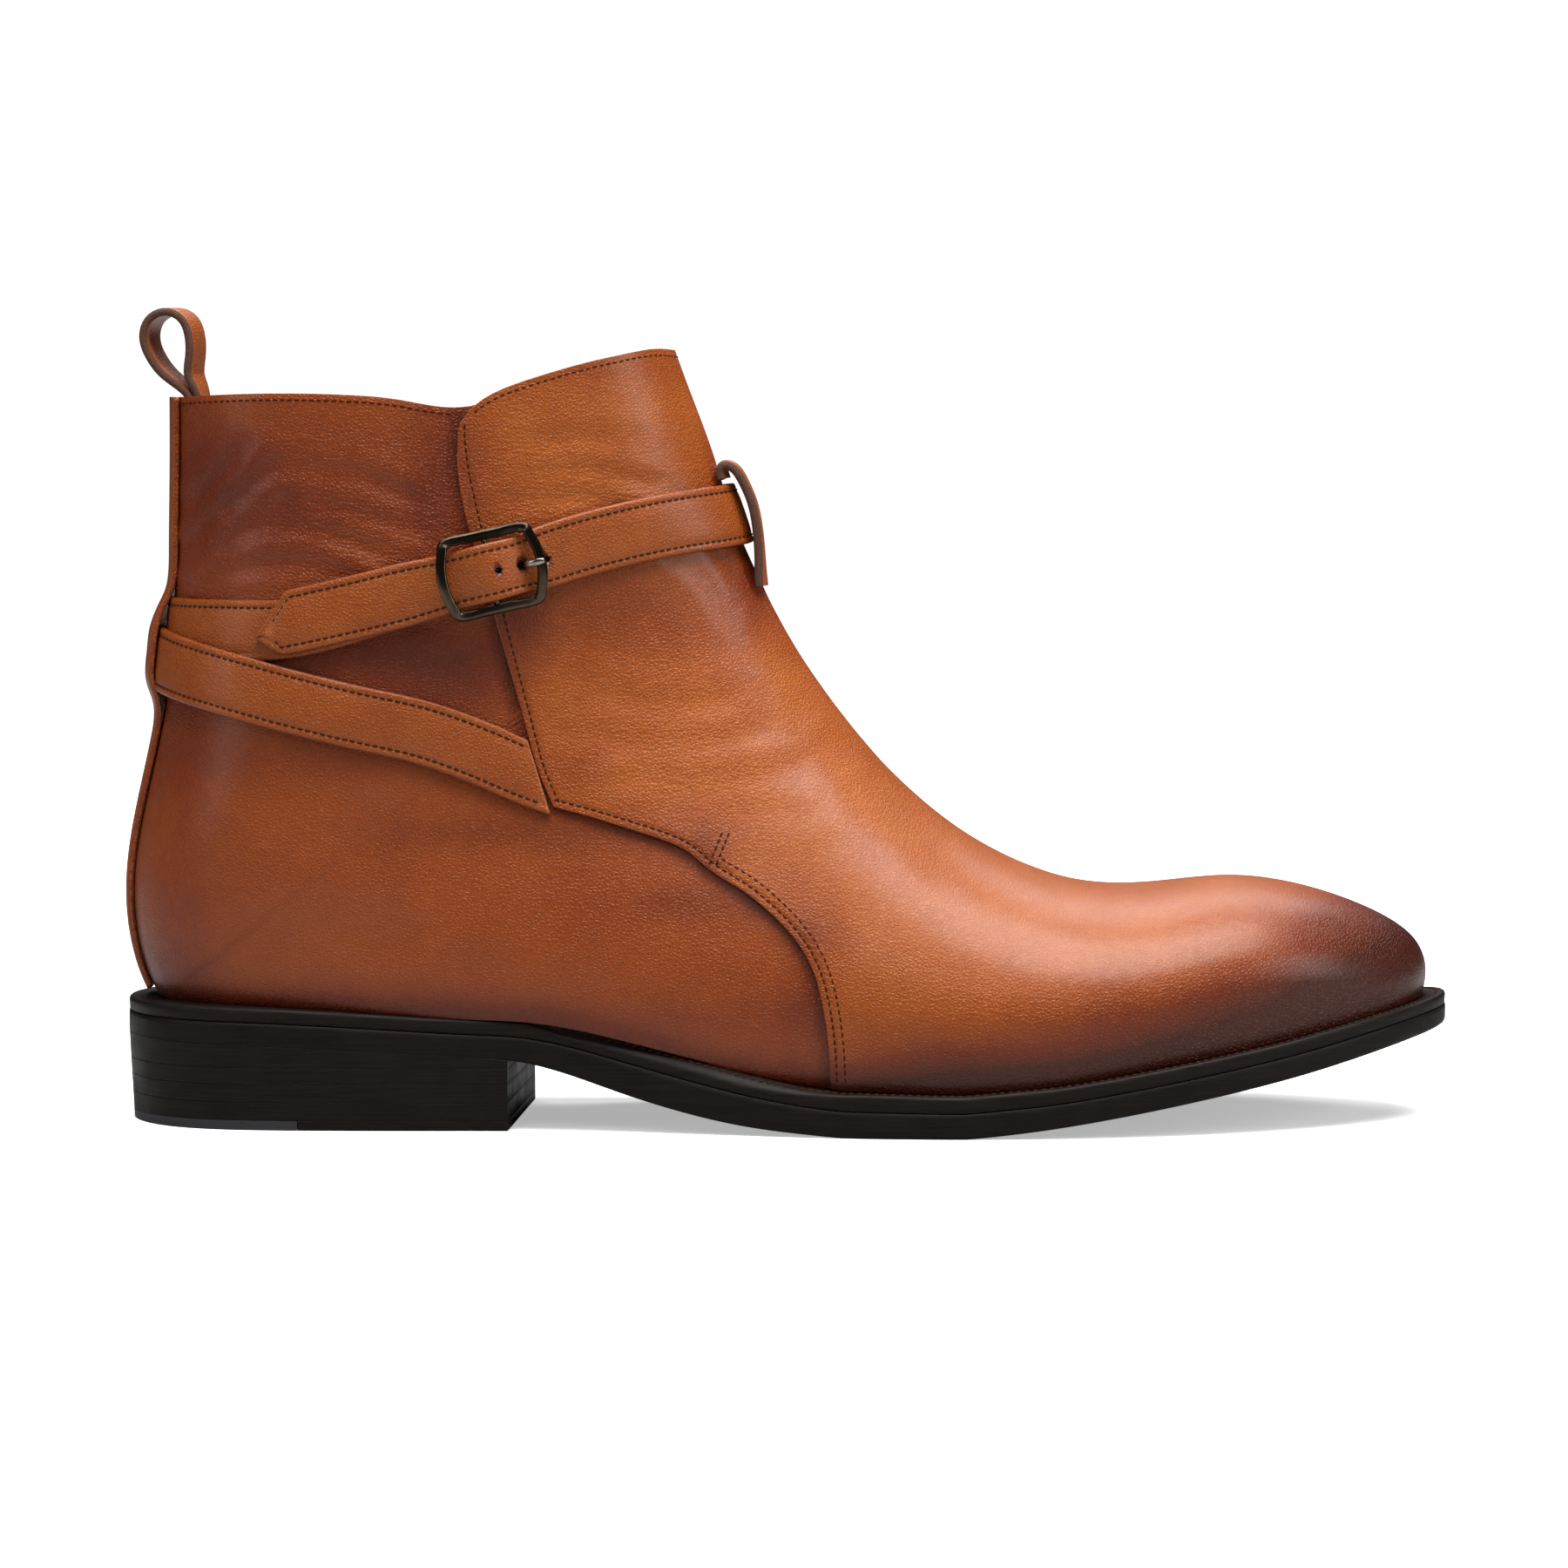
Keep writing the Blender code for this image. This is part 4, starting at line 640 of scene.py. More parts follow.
def plain_leather(name, colour, second, rough, grain_mm, bump_strength):
    """Leather without its grain side: cut edges, lining, raw flesh. Even colour, dull, fibrous."""
    material, tree, shader, where = start_material(name)
    fibre = add(tree, "ShaderNodeTexNoise", Vector=where, Scale=1000 / grain_mm, Detail=5.0, Roughness=0.7)
    tint = mix(tree, fibre.outputs[0], linear(colour), linear(second))
    tree.links.new(tint, shader.inputs["Base Color"])
    bump = add(tree, "ShaderNodeBump", Height=fibre.outputs[0], Strength=bump_strength, Distance=0.0003)
    tree.links.new(bump.outputs[0], shader.inputs["Normal"])
    shader.inputs["Roughness"].default_value = rough
    return material


def sole_finish(name, colour, second, rough, strength=0.35):
    """Sole bend leather, edge-trimmed, inked black-brown and waxed: fine lines along the edge."""
    material, tree, shader, where = start_material(name)
    # trimming marks run along the edge, about 0.5 mm apart and some 30 mm long
    stretched = add(tree, "ShaderNodeMapping", Vector=where, Scale=(0.03, 0.03, 1.0))
    lines = add(tree, "ShaderNodeTexNoise", Vector=stretched.outputs[0], Scale=1000 / 0.5, Detail=4.0,
                Roughness=0.65)
    cloud = add(tree, "ShaderNodeTexNoise", Vector=where, Scale=1000 / 8, Detail=4.0)
    level = maths(tree, "ADD", maths(tree, "MULTIPLY", lines.outputs[0], 0.7),
                  maths(tree, "MULTIPLY", cloud.outputs[0], 0.3))
    wide = add(tree, "ShaderNodeMapRange", Value=level, From_Min=0.35, From_Max=0.68)
    tint = mix(tree, wide.outputs[0], linear(colour), linear(second))
    tree.links.new(tint, shader.inputs["Base Color"])
    bump = add(tree, "ShaderNodeBump", Height=lines.outputs[0], Strength=strength, Distance=0.0002)
    tree.links.new(bump.outputs[0], shader.inputs["Normal"])
    gloss = add(tree, "ShaderNodeMapRange", Value=cloud.outputs[0], From_Min=0.3, From_Max=0.7,
                To_Min=rough - 0.05, To_Max=rough + 0.1)
    tree.links.new(gloss.outputs[0], shader.inputs["Roughness"])
    shader.inputs["Specular IOR Level"].default_value = 0.14
    return material


def plated_metal(name, colour, rough):
    """Zinc alloy, cast, plated gunmetal and polished: dark mirror with faint pits."""
    material, tree, shader, where = start_material(name)
    haze = add(tree, "ShaderNodeTexNoise", Vector=where, Scale=1000 / 2, Detail=4.0)
    tint = mix(tree, haze.outputs[0], linear(colour), linear("#3a3128"))
    tree.links.new(tint, shader.inputs["Base Color"])
    gloss = add(tree, "ShaderNodeMapRange", Value=haze.outputs[0], To_Min=rough - 0.04, To_Max=rough + 0.08)
    tree.links.new(gloss.outputs[0], shader.inputs["Roughness"])
    shader.inputs["Metallic"].default_value = 1.0
    return material


def sewing_thread(name, colour):
    """Bonded polyester thread, twisted: dull sheen, fine slanting lines."""
    material, tree, shader, where = start_material(name)
    strands = add(tree, "ShaderNodeTexNoise", Vector=where, Scale=1000 / 0.3, Detail=2.0)
    tint = mix(tree, strands.outputs[0], linear(colour), linear("#42200d"))
    tree.links.new(tint, shader.inputs["Base Color"])
    bump = add(tree, "ShaderNodeBump", Height=strands.outputs[0], Strength=0.4, Distance=0.0001)
    tree.links.new(bump.outputs[0], shader.inputs["Normal"])
    shader.inputs["Roughness"].default_value = 0.85
    shader.inputs["Specular IOR Level"].default_value = 0.1
    return material


def moulded_rubber(name):
    """Moulded rubber top lift: dull black with a fine tooth."""
    material, tree, shader, where = start_material(name)
    tooth = add(tree, "ShaderNodeTexNoise", Vector=where, Scale=1000 / 0.8, Detail=4.0)
    tint = mix(tree, tooth.outputs[0], linear("#17171a"), linear("#2c2c31"))
    tree.links.new(tint, shader.inputs["Base Color"])
    bump = add(tree, "ShaderNodeBump", Height=tooth.outputs[0], Strength=0.4, Distance=0.0002)
    tree.links.new(bump.outputs[0], shader.inputs["Normal"])
    shader.inputs["Roughness"].default_value = 0.62
    return material


QUARTER_CALF = calf("burnished calf, quarters", "#9c5119", "#85390c", "#621f05", "#3a0b02", 0.46)
PANEL_CALF = calf("burnished calf, front panel", "#9e541a", "#863c0c", "#621f04", "#360a02", 0.44)
STRAP_CALF = calf("burnished calf, straps", "#9a5019", "#80380c", "#5c1e05", "#340b03", 0.48)
CUT_EDGE = plain_leather("calf, cut edge dyed", "#8a5026", "#b0713a", 0.6, 0.5, 0.4)
RAW_FLESH = plain_leather("calf, raw flesh side", "#2a160c", "#5e3620", 0.85, 0.6, 0.9)
LINING = plain_leather("pigskin lining, brushed", "#a87a4e", "#8a5f3a", 0.75, 0.9, 0.4)
INSOLE = plain_leather("insole shoulder, smooth", "#b28a5f", "#96704a", 0.7, 1.0, 0.3)
SOLE_EDGE_INK = sole_finish("sole bend, inked edge", "#060403", "#16100b", 0.5)
WELT_INK = sole_finish("welting, inked", "#060403", "#1c140e", 0.5, 0.5)
HEEL_INK = sole_finish("heel lifts, inked and waxed", "#070504", "#1a130e", 0.48)
RUBBER = moulded_rubber("rubber, moulded")
GUNMETAL = plated_metal("zinc alloy, plated gunmetal", "#5c5042", 0.2)
BRIGHT = plated_metal("steel, polished", "#b8b4ac", 0.2)
THREAD_BROWN = sewing_thread("polyester thread, brown", "#2a1206")
WELT_THREAD = sewing_thread("linen thread, waxed", "#2a1d14")


def clear_selection():
    bpy.ops.object.select_all(action="DESELECT")


def place(name, points, material, patina_and_shade=None):
    """A grid primitive whose points are put on the given rows, as one mesh with smooth faces."""
    rows, columns = points.shape[:2]
    clear_selection()
    bpy.ops.mesh.primitive_grid_add(x_subdivisions=columns - 1, y_subdivisions=rows - 1, size=1.0)
    piece = bpy.context.object
    piece.name = piece.data.name = name
    piece.data.vertices.foreach_set("co", (points * MM).reshape(-1))
    if patina_and_shade is not None:
        store = piece.data.attributes.new("patina_and_shade", "FLOAT_COLOR", "POINT")
        colours = np.tile(np.array([0.0, 0.0, 0.0, 1.0]), (rows * columns, 1))
        colours[:, :2] = patina_and_shade.reshape(-1, 2)
        store.data.foreach_set("color", colours.astype(np.float32).reshape(-1))
    piece.data.materials.append(material)
    piece.location = (0, 0, 0)
    bpy.ops.object.mode_set(mode="EDIT")
    bpy.ops.mesh.select_all(action="SELECT")
    bpy.ops.mesh.remove_doubles(threshold=2e-6)
    bpy.ops.mesh.faces_shade_smooth()
    bpy.ops.object.mode_set(mode="OBJECT")
    piece.data.update()
    return piece


def close_ends(piece):
    """Fills every open edge loop and points all faces outwards."""
    select_only(piece)
    bpy.ops.object.mode_set(mode="EDIT")
    bpy.ops.mesh.select_all(action="DESELECT")
    bpy.ops.mesh.select_non_manifold()
    bpy.ops.mesh.edge_face_add()
    bpy.ops.mesh.select_all(action="SELECT")
    bpy.ops.mesh.normals_make_consistent(inside=False)
    bpy.ops.object.mode_set(mode="OBJECT")


def select_only(piece):
    clear_selection()
    piece.select_set(True)
    bpy.context.view_layer.objects.active = piece


def finish_modifier(piece, kind, **settings):
    select_only(piece)
    modifier = piece.modifiers.new(kind.lower(), kind)
    for name, value in settings.items():
        setattr(modifier, name, value)
    bpy.ops.object.modifier_apply(modifier=modifier.name)


def sheet_to_wall(piece, thickness, edge_material, inner_material):
    """Gives a sheet its thickness inwards, and rounds the cut edge."""
    select_only(piece)
    bpy.ops.object.mode_set(mode="EDIT")
    bpy.ops.mesh.select_all(action="SELECT")
    bpy.ops.mesh.flip_normals()
    bpy.ops.object.mode_set(mode="OBJECT")
    piece.data.materials.append(edge_material)
    piece.data.materials.append(inner_material)
    finish_modifier(piece, "SOLIDIFY", thickness=thickness * MM, offset=-1.0, use_even_offset=False,
                    material_offset=2, material_offset_rim=1)
    finish_modifier(piece, "BEVEL", width=EDGE_ROUND * MM, segments=2, limit_method="ANGLE",
                    angle_limit=math.radians(55), use_clamp_overlap=True)
    select_only(piece)
    bpy.ops.object.shade_smooth_by_angle(angle=math.radians(50))


# Distances from the panel's edge at which it has a column of points
NEAR_EDGE = np.array([5.3, 4.3, 3.5, 2.9, 2.4, 2.0, 1.6, 1.2, 0.8, 0.4, 0.0])


def wall_scale(sections, angles, side):
    """Millimetres for each radian round the skin, there."""
    tiny = 1e-3
    step = form(sections, side * (angles + tiny)) - form(sections, side * (angles - tiny))
    return np.linalg.norm(step, axis=-1) / (2 * tiny)


def both_sides(reach, sections, middle_count):
    """Angles from the medial edge over the top line to the lateral edge, for each row."""
    halves = []
    for side in (-1, 1):
        edge = reach[0 if side > 0 else 1]
        scale = wall_scale(sections, edge - 0.02, side)
        scale = np.maximum(scale, 6.0 / np.maximum(edge, 0.05) * 1.02)
        margin = np.minimum(NEAR_EDGE[0] / scale, edge * 0.5)
        inner = np.linspace(0, 1, middle_count)[None, :] * (edge - margin)[:, None]
        outer = edge[:, None] - NEAR_EDGE[None, 1:] / NEAR_EDGE[0] * margin[:, None]
        halves.append(side * np.concatenate([inner, outer], 1))
    return np.concatenate([halves[0][:, ::-1], halves[1][:, 1:]], 1)


def foot_rows(depth, steps_foot, steps_shaft):
    """Section numbers from the toe to the collar, closer together near the toe's pole."""
    toe = closing_section(0.0, 3.0, depth, True)
    heel = closing_section(14.0, 17.0, depth, False)
    return np.concatenate([
        np.linspace(0, toe, 7)[:-1],
        np.linspace(toe + 0.004, heel - 0.004, steps_foot),
        np.linspace(heel + 0.004, LAST_SECTION, steps_shaft),
    ]), toe, heel


def make_upper():
    """Quarters and lining, one wall, with listed creases."""
    sections, toe, heel = foot_rows(UPPER_DEPTH, 190, 70)
    reach = [np.minimum(feather_angle(sections, side, UPPER_DEPTH), math.pi) for side in (1, -1)]
    share = np.linspace(-1, 1, 213)[None, :]
    angles = np.where(share >= 0, share * reach[0][:, None], share * reach[1][:, None])
    rows = sections[:, None] + 0 * angles
    flat = form(rows, angles)
    depth = UPPER_DEPTH + crease_depth(flat, QUARTER_CREASES) * (rows > 9)
    points = skin(rows, angles, depth)
    dark = QUARTER_BURNISH + spots(points, QUARTER_DARK)
    low = welt_top(points[..., 0])
    # Darker band just above the welt: partly burnishing at the feather edge, partly painted shade where the
    # upper meets the welt
    dark += 0.35 * np.exp(-((points[..., 2] - low) / 4.0) ** 2)
    # Painted shadow on the quarters beside the front panel's raised edge
    dark += 0.45 * np.exp(-((line_distance(points, SEAM[::2]) / 1.7) ** 2))
    patina_and_shade = np.stack([dark, spots(points, QUARTER_WRINKLES)], -1)
    piece = place("quarters", points, QUARTER_CALF, patina_and_shade=patina_and_shade)
    sheet_to_wall(piece, WALL_THICKNESS, CUT_EDGE, LINING)
    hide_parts("upper")
    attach(piece, "root")


def panel_sections():
    """Section numbers of the front panel's rows, and where its side seam starts."""
    start = float(section_through([SEAM_LOW[1]])[0])
    toe = closing_section(0.0, 3.0, 0.0, True)
    seam = SEAM_SECTION[(SEAM_SECTION > start) & (SEAM_SECTION < LAST_SECTION)]
    kept = [seam[0]]
    for number in seam:
        if number - kept[-1] > 0.012:
            kept.append(number)
    before = np.concatenate([np.linspace(0, toe, 7)[:-1], np.linspace(toe + 0.004, start - 0.02, 96)])
    return np.concatenate([before, kept, [LAST_SECTION]]), start


def seam_reach(number):
    """Angle from the top line at which the seam crosses a section."""
    return np.interp(number, SEAM_SECTION, SEAM_ANGLE)


def panel_angles(sections, start, columns):
    """Section numbers and angles of the panel's points, its side edges on the seam or at the welt."""
    feather = [feather_angle(sections, side, 0.0) for side in (1, -1)]
    edge = [np.where(sections < start - 0.01, f, np.minimum(f, seam_reach(sections))) for f in feather]
    angles = both_sides(edge, sections, columns)
    top_angles = angles[-1]

    def over_top(section):
        point = form(section, np.sign(top_angles) * np.minimum(np.abs(top_angles), seam_reach(section)))
        return point[:, 2] > PANEL_CURVE(point[:, 0]) - medial_drop(top_angles)

    begin = np.full(top_angles.shape, float(LAST_SECTION - 2))
    top = bisect(begin, begin + 3, over_top)[None, :]
    rows = sections[:, None] + 0 * angles
    stretched = FLAP_SECTION + (rows - FLAP_SECTION) * (top - FLAP_SECTION) / (LAST_SECTION - FLAP_SECTION)
    number = np.where(rows > FLAP_SECTION, stretched, rows)
    ratio = np.where(rows > FLAP_SECTION, seam_reach(number) / seam_reach(rows), 1.0)
    return number, angles * ratio


def make_front_panel():
    """Vamp and ankle flap in one piece, grooved along the stitches and thinned towards its edge."""
    sections, start = panel_sections()
    number, angles = panel_angles(sections, start, 70)
    flat = form(number, angles)
    to_seam = line_distance(flat, SEAM[::2])
    depth = crease_depth(flat, PANEL_CREASES)
    depth += 0.15 * np.exp(-((to_seam / 1.0) ** 2))
    depth += 0.18 * np.exp(-(((to_seam - EDGE_TO_STITCH) / 0.5) ** 2))
    points = skin(number, angles, depth)
    dark = PANEL_BURNISH + spots(points, PANEL_DARK)
    low = welt_top(points[..., 0])
    # Darker band just above the welt: partly burnishing at the feather edge, partly painted shade where the
    # vamp meets the welt
    dark += 0.45 * np.exp(-((points[..., 2] - low) / 4.0) ** 2)
    # Painted shade along the seam, where the panel's edge dips
    dark += 0.10 * np.exp(-((to_seam / 1.2) ** 2))
    patina_and_shade = np.stack([dark, spots(points, PANEL_WRINKLES)], -1)
    piece = place("front_panel_leather", points, PANEL_CALF, patina_and_shade=patina_and_shade)
    sheet_to_wall(piece, PANEL_THICKNESS, CUT_EDGE, RAW_FLESH)
    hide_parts("front_panel")
    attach(piece, "root")


def sole_loop(stations, inset=0.0):
    """Closed plan of the sole as x, y points, lateral side first, moved inwards by inset."""
    x = PLAN["x"](stations)
    lateral, medial = PLAN["lateral"](stations), PLAN["medial"](stations)
    loop = np.vstack([np.stack([x, lateral], 1), np.stack([x, medial], 1)[-2:0:-1]])
    along = np.roll(loop, -1, axis=0) - np.roll(loop, 1, axis=0)
    along /= np.linalg.norm(along, axis=1, keepdims=True)
    amount = inset(loop[:, :1]) if callable(inset) else inset
    return loop + np.stack([-along[:, 1], along[:, 0]], 1) * amount


def closed_rows(loops):
    """Rows of points round closed loops, with the first point again at the end."""
    rows = np.array(loops)
    return np.concatenate([rows, rows[:, :1]], 1)


def loop_at(loop, height):
    """A plan loop at a height that is a number or a function of x."""
    z = height(loop[:, 0]) if callable(height) else np.full(len(loop), float(height))
    return np.concatenate([loop, z[:, None]], 1)


def towards_middle(loop, share):
    """A plan loop drawn in towards the line down its middle, where share 0 is that line."""
    count = len(loop)
    partner = loop[(-np.arange(count)) % count]
    middle = (loop + partner) / 2
    return middle + (loop - middle) * share


STATIONS = np.linspace(0, len(SOLE_PLAN) - 1, 201)


def waist(x):
    """1 in the waist of the sole, where its edge is bevelled, 0 at the forefoot and the heel."""
    return smooth((x - 58) / 14) * (1 - smooth((x - 108) / 30))


def past_heel(x):
    """0 over the heel, where the sole's lower edge is trimmed flush with the lifts, and 1 in front of it."""
    return smooth((x - 50) / 10)


def make_outsole():
    """Outsole with a soft lower edge, and a fine groove where it meets the welt."""
    rounding = ((0.7, 0.0), (0.25, 0.2), (0.0, 0.7))
    inner = sole_loop(STATIONS, 1.6)
    loops = [loop_at(towards_middle(inner, share), underside) for share in (0, 0.33, 0.66, 1)]
    for inset, rise in rounding:
        loops.append(loop_at(sole_loop(STATIONS, lambda x, i=inset: i * past_heel(x)),
                             lambda x, up=rise: underside(x) + up * (0.1 + 0.9 * past_heel(x))))
    for share in (0.4, 0.8):
        loops.append(loop_at(sole_loop(STATIONS, -0.05),
                             lambda x, part=share: underside(x) + part * (outsole_top(x) - underside(x))))
    loops.append(loop_at(sole_loop(STATIONS, 0.0), outsole_top))
    loops.append(loop_at(sole_loop(STATIONS, 0.12), lambda x: outsole_top(x) + 0.1))
    loops += [loop_at(towards_middle(sole_loop(STATIONS, 2.0), share), outsole_top) for share in (1, 0.5, 0)]
    piece = place("outsole_bend", closed_rows(loops), SOLE_EDGE_INK)
    close_ends(piece)
    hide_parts("outsole")
    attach(piece, "root")


def make_welt():
    """Welt with a rounded outer edge that is bevelled downwards in the waist."""
    def bevel(x, inset):
        return welt_top(x) - waist(x) * np.maximum(0.0, 2.6 - inset) * 0.9

    loops = [loop_at(sole_loop(STATIONS, inset), welt_bottom) for inset in (WELT_WIDTH - 1, 0.3)]
    loops.append(loop_at(sole_loop(STATIONS, 0.12), lambda x: welt_bottom(x) + 0.08))
    loops.append(loop_at(sole_loop(STATIONS, 0.0),
                         lambda x: np.maximum(welt_bottom(x) + 0.5, bevel(x, 0.0) - 0.9)))
    for inset, drop in ((0.15, 0.35), (0.5, 0.05), (1.2, 0.0), (2.6, 0.0), (4.0, 0.0)):
        loops.append(loop_at(sole_loop(STATIONS, inset), lambda x, i=inset, d=drop: bevel(x, i) - d))
    loops.append(loop_at(sole_loop(STATIONS, WELT_WIDTH - 1), welt_top))
    loops.append(loops[0])
    piece = place("welt_strip", closed_rows(loops), WELT_INK)
    close_ends(piece)
    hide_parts("welt")
    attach(piece, "root")


def heel_loop(drop, inset=0.0):
    """Plan of the heel at a height below the outsole, narrower towards the ground, breast first."""
    loop = sole_loop(np.linspace(0, len(SOLE_PLAN) - 1, 321), HEEL_TAPER * drop + inset)
    half = len(loop) // 2 + 1
    lateral, medial = loop[:half], np.vstack([loop[half - 1 :], loop[:1]])[::-1]
    front = inset * 0.8
    breast = [(BREAST_MEDIAL - front, np.interp(BREAST_MEDIAL, *medial.T)),
              (BREAST_LATERAL - front, np.interp(BREAST_LATERAL, *lateral.T))]
    lateral = lateral[lateral[:, 0] < BREAST_LATERAL - 1.5][::2]
    medial = medial[medial[:, 0] < BREAST_MEDIAL - 1.5][::2]
    return [tuple(p) for p in breast] + [tuple(p) for p in lateral[::-1]] + [tuple(p) for p in medial[1:]]


def cut_loop(loop, x, keep_front):
    """The part of a closed plan loop in front of x, or behind it."""
    kept = []
    for a, b in zip(loop, loop[1:] + loop[:1]):
        if (a[0] > x) == keep_front:
            kept.append(a)
        if (a[0] > x) != (b[0] > x):
            kept.append((x, a[1] + (b[1] - a[1]) * (x - a[0]) / (b[0] - a[0])))
    return kept


def make_lift(name, node, low, high, material, cut=None):
    """One heel lift with its edge just broken, so that the joints show as fine lines."""
    seat = float(underside(0.0))
    top_height = high if callable(high) else (lambda x, h=high: np.full(np.shape(x), float(h)))
    loops = []
    top_drop = 0.0 if callable(high) else seat - high
    for inset, rise, drop in ((LIFT_EDGE, 0.0, seat - low), (0.0, LIFT_EDGE, seat - low)):
        loops.append((heel_loop(drop, inset), lambda x, r=rise: np.full(np.shape(x), low + r)))
    for inset, fall in ((0.0, LIFT_EDGE), (LIFT_EDGE, 0.0)):
        loops.append((heel_loop(top_drop, inset), lambda x, f=fall: top_height(x) - f))
    rows = []
    for loop, height in loops:
        if cut is not None:
            loop = cut_loop(loop, *cut)
        loop = np.array(loop)
        rows.append(np.concatenate([loop, height(loop[:, 0])[:, None]], 1))
    least = min(len(row) for row in rows)
    piece = place(name, closed_rows([row[:least] for row in rows]), material)
    close_ends(piece)
    select_only(piece)
    bpy.ops.object.shade_smooth_by_angle(angle=math.radians(40))
    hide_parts(node)
    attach(piece, "root")


def make_heel():
    """Top piece, rubber tip and four lifts, from the ground up."""
    make_lift("heel_top_piece_front", "heel_top_piece", LIFT_TOPS[0], LIFT_TOPS[1], HEEL_INK,
              (TIP_CUT + 0.15, True))
    make_lift("heel_rubber_quarter_tip", "heel_rubber_tip", LIFT_TOPS[0], LIFT_TOPS[1], RUBBER,
              (TIP_CUT - 0.05, False))
    for number in (1, 2, 3):
        make_lift(f"heel_lift_{number}_edge", f"heel_lift_{number}", LIFT_TOPS[number] + 0.03,
                  LIFT_TOPS[number + 1], HEEL_INK)
    make_lift("heel_lift_4_edge", "heel_lift_4", LIFT_TOPS[4] + 0.03, lambda x: underside(x) - 0.06, HEEL_INK)


def skin_tree():
    """The boot's skin as a tree that can be searched for the nearest point, in millimetres."""
    sections, angles = np.linspace(6, LAST_SECTION + 0.5, 300), np.linspace(-math.pi, math.pi, 321)
    grid = form(sections[:, None] + 0 * angles[None, :], angles[None, :] + 0 * sections[:, None])
    rows, columns = grid.shape[:2]
    first = np.arange(rows - 1)[:, None] * columns + np.arange(columns - 1)[None, :]
    faces = np.stack([first, first + 1, first + columns + 1, first + columns], -1).reshape(-1, 4)
    return BVHTree.FromPolygons(grid.reshape(-1, 3).tolist(), faces.tolist())


SKIN = skin_tree()


def strap_frames(rows, spacing):
    """Evenly spaced places along a strap: its middle on the skin, and three directions."""
    row = tracks(STRAP_COLUMNS, rows)
    numbers = np.linspace(0, len(rows) - 1, 40 * len(rows))
    middles = []
    for number in numbers:
        turn, z = math.radians(float(row["turn"](number))), float(row["z"](number))
        out = Vector((math.cos(turn), -math.sin(turn), 0.0))
        middles.append(SKIN.ray_cast(Vector((SHAFT_AXIS_X, 0.0, z)) + out * 200, -out)[0])
    middles = np.array(middles)
    length = walked_along(middles)
    steps = np.linspace(0, length[-1], int(length[-1] / spacing) + 1)
    number = np.interp(steps, length, numbers)
    middle = np.stack([np.interp(steps, length, middles[:, i]) for i in range(3)], 1)
    middle = soften(middle, 3)
    along = directions(middle)
    out = soften(np.array([SKIN.find_nearest(Vector(p))[1] for p in middle]), 5)
    out *= np.sign(np.sum(out * (middle - [SHAFT_AXIS_X, 0, 0]) * [1, 1, 0], axis=1))[:, None]
    across = np.cross(out, along)
    across *= np.sign(across[:, 2])[:, None]
    across /= np.linalg.norm(across, axis=1, keepdims=True)
    out = np.cross(along, across)
    out *= np.sign(np.sum(out * (middle - [SHAFT_AXIS_X, 0, 0]) * [1, 1, 0], axis=1))[:, None]
    values = {name: row[name](number) for name in STRAP_COLUMNS}
    return values, middle, along, across, out, steps


def soften(values, width):
    """Running mean along the rows, with its ends kept."""
    values = np.asarray(values, float)
    flat = values.reshape(len(values), -1)
    padded = np.pad(flat, ((width, width), (0, 0)), mode="reflect", reflect_type="odd")
    kernel = np.hanning(2 * width + 3)[1:-1]
    kernel /= kernel.sum()
    out = np.stack([np.convolve(padded[:, i], kernel, "valid") for i in range(flat.shape[1])], 1)
    return out.reshape(values.shape)


def strap_clearance(middle, across, out, low, high):
    """How far out a flat strap must stand so that no part of its width enters the skin."""
    need = []
    for i in range(len(middle)):
        worst = 0.0
        for share in np.linspace(0, 1, 7):
            point = middle[i] + across[i] * (low[i] + share * (high[i] - low[i]))
            nearest = np.array(SKIN.find_nearest(Vector(point))[0])
            worst = max(worst, float(np.dot(nearest - point, out[i])))
        need.append(worst)
    padded = np.pad(need, 4, mode="edge")
    peak = np.array([padded[i : i + 9].max() for i in range(len(need))])
    return soften(peak, 4)


class Strap:
    """A strap's path, with its edges and its height over the skin, sampled every spacing millimetres."""

    def __init__(self, rows, thickness, spacing=0.9, pointed=False):
        self.row, self.middle, self.along, self.across, self.out, self.steps = strap_frames(rows, spacing)
        self.thickness = thickness
        self.high, self.low = self.row["half"].copy(), -self.row["half"]
        self.need = strap_clearance(self.middle, self.across, self.out, self.low, self.high)
        if pointed:
            left = self.steps[-1] - self.steps
            high_share, low_share = np.clip(left / TIP_HIGH, 0, 1), np.clip(left / TIP_LOW, 0, 1)
            self.high = np.minimum(self.high, TIP_AT + (STRAP_HALF - TIP_AT) * high_share + TIP_BLUNT)
            self.low = np.maximum(self.low, TIP_AT - (STRAP_HALF + TIP_AT) * low_share - TIP_BLUNT)

    def point(self, i, offset, rise):
        """A point at an offset across the strap, and a rise over its inner face."""
        shift = self.along[i] * self.row["slant"][i] * offset
        lift = self.need[i] + self.row["layer"][i] + rise
        return self.middle[i] + self.across[i] * offset + shift + self.out[i] * lift


def strap_profile(half, thickness):
    """Distances in from the edge and rises of a strap's section: rounded edge, stitch groove, low crown."""
    steps = ((0.25, 0.0), (0.0, 0.25), (0.0, 0.62), (0.12, 0.86), (0.40, 1.0), (1.0, 1.04), (1.45, 0.99),
             (1.75, 0.95), (2.05, 1.0), (2.7, 1.08), (4.2, 1.14))
    return [(min(inset, half), rise * thickness) for inset, rise in steps]


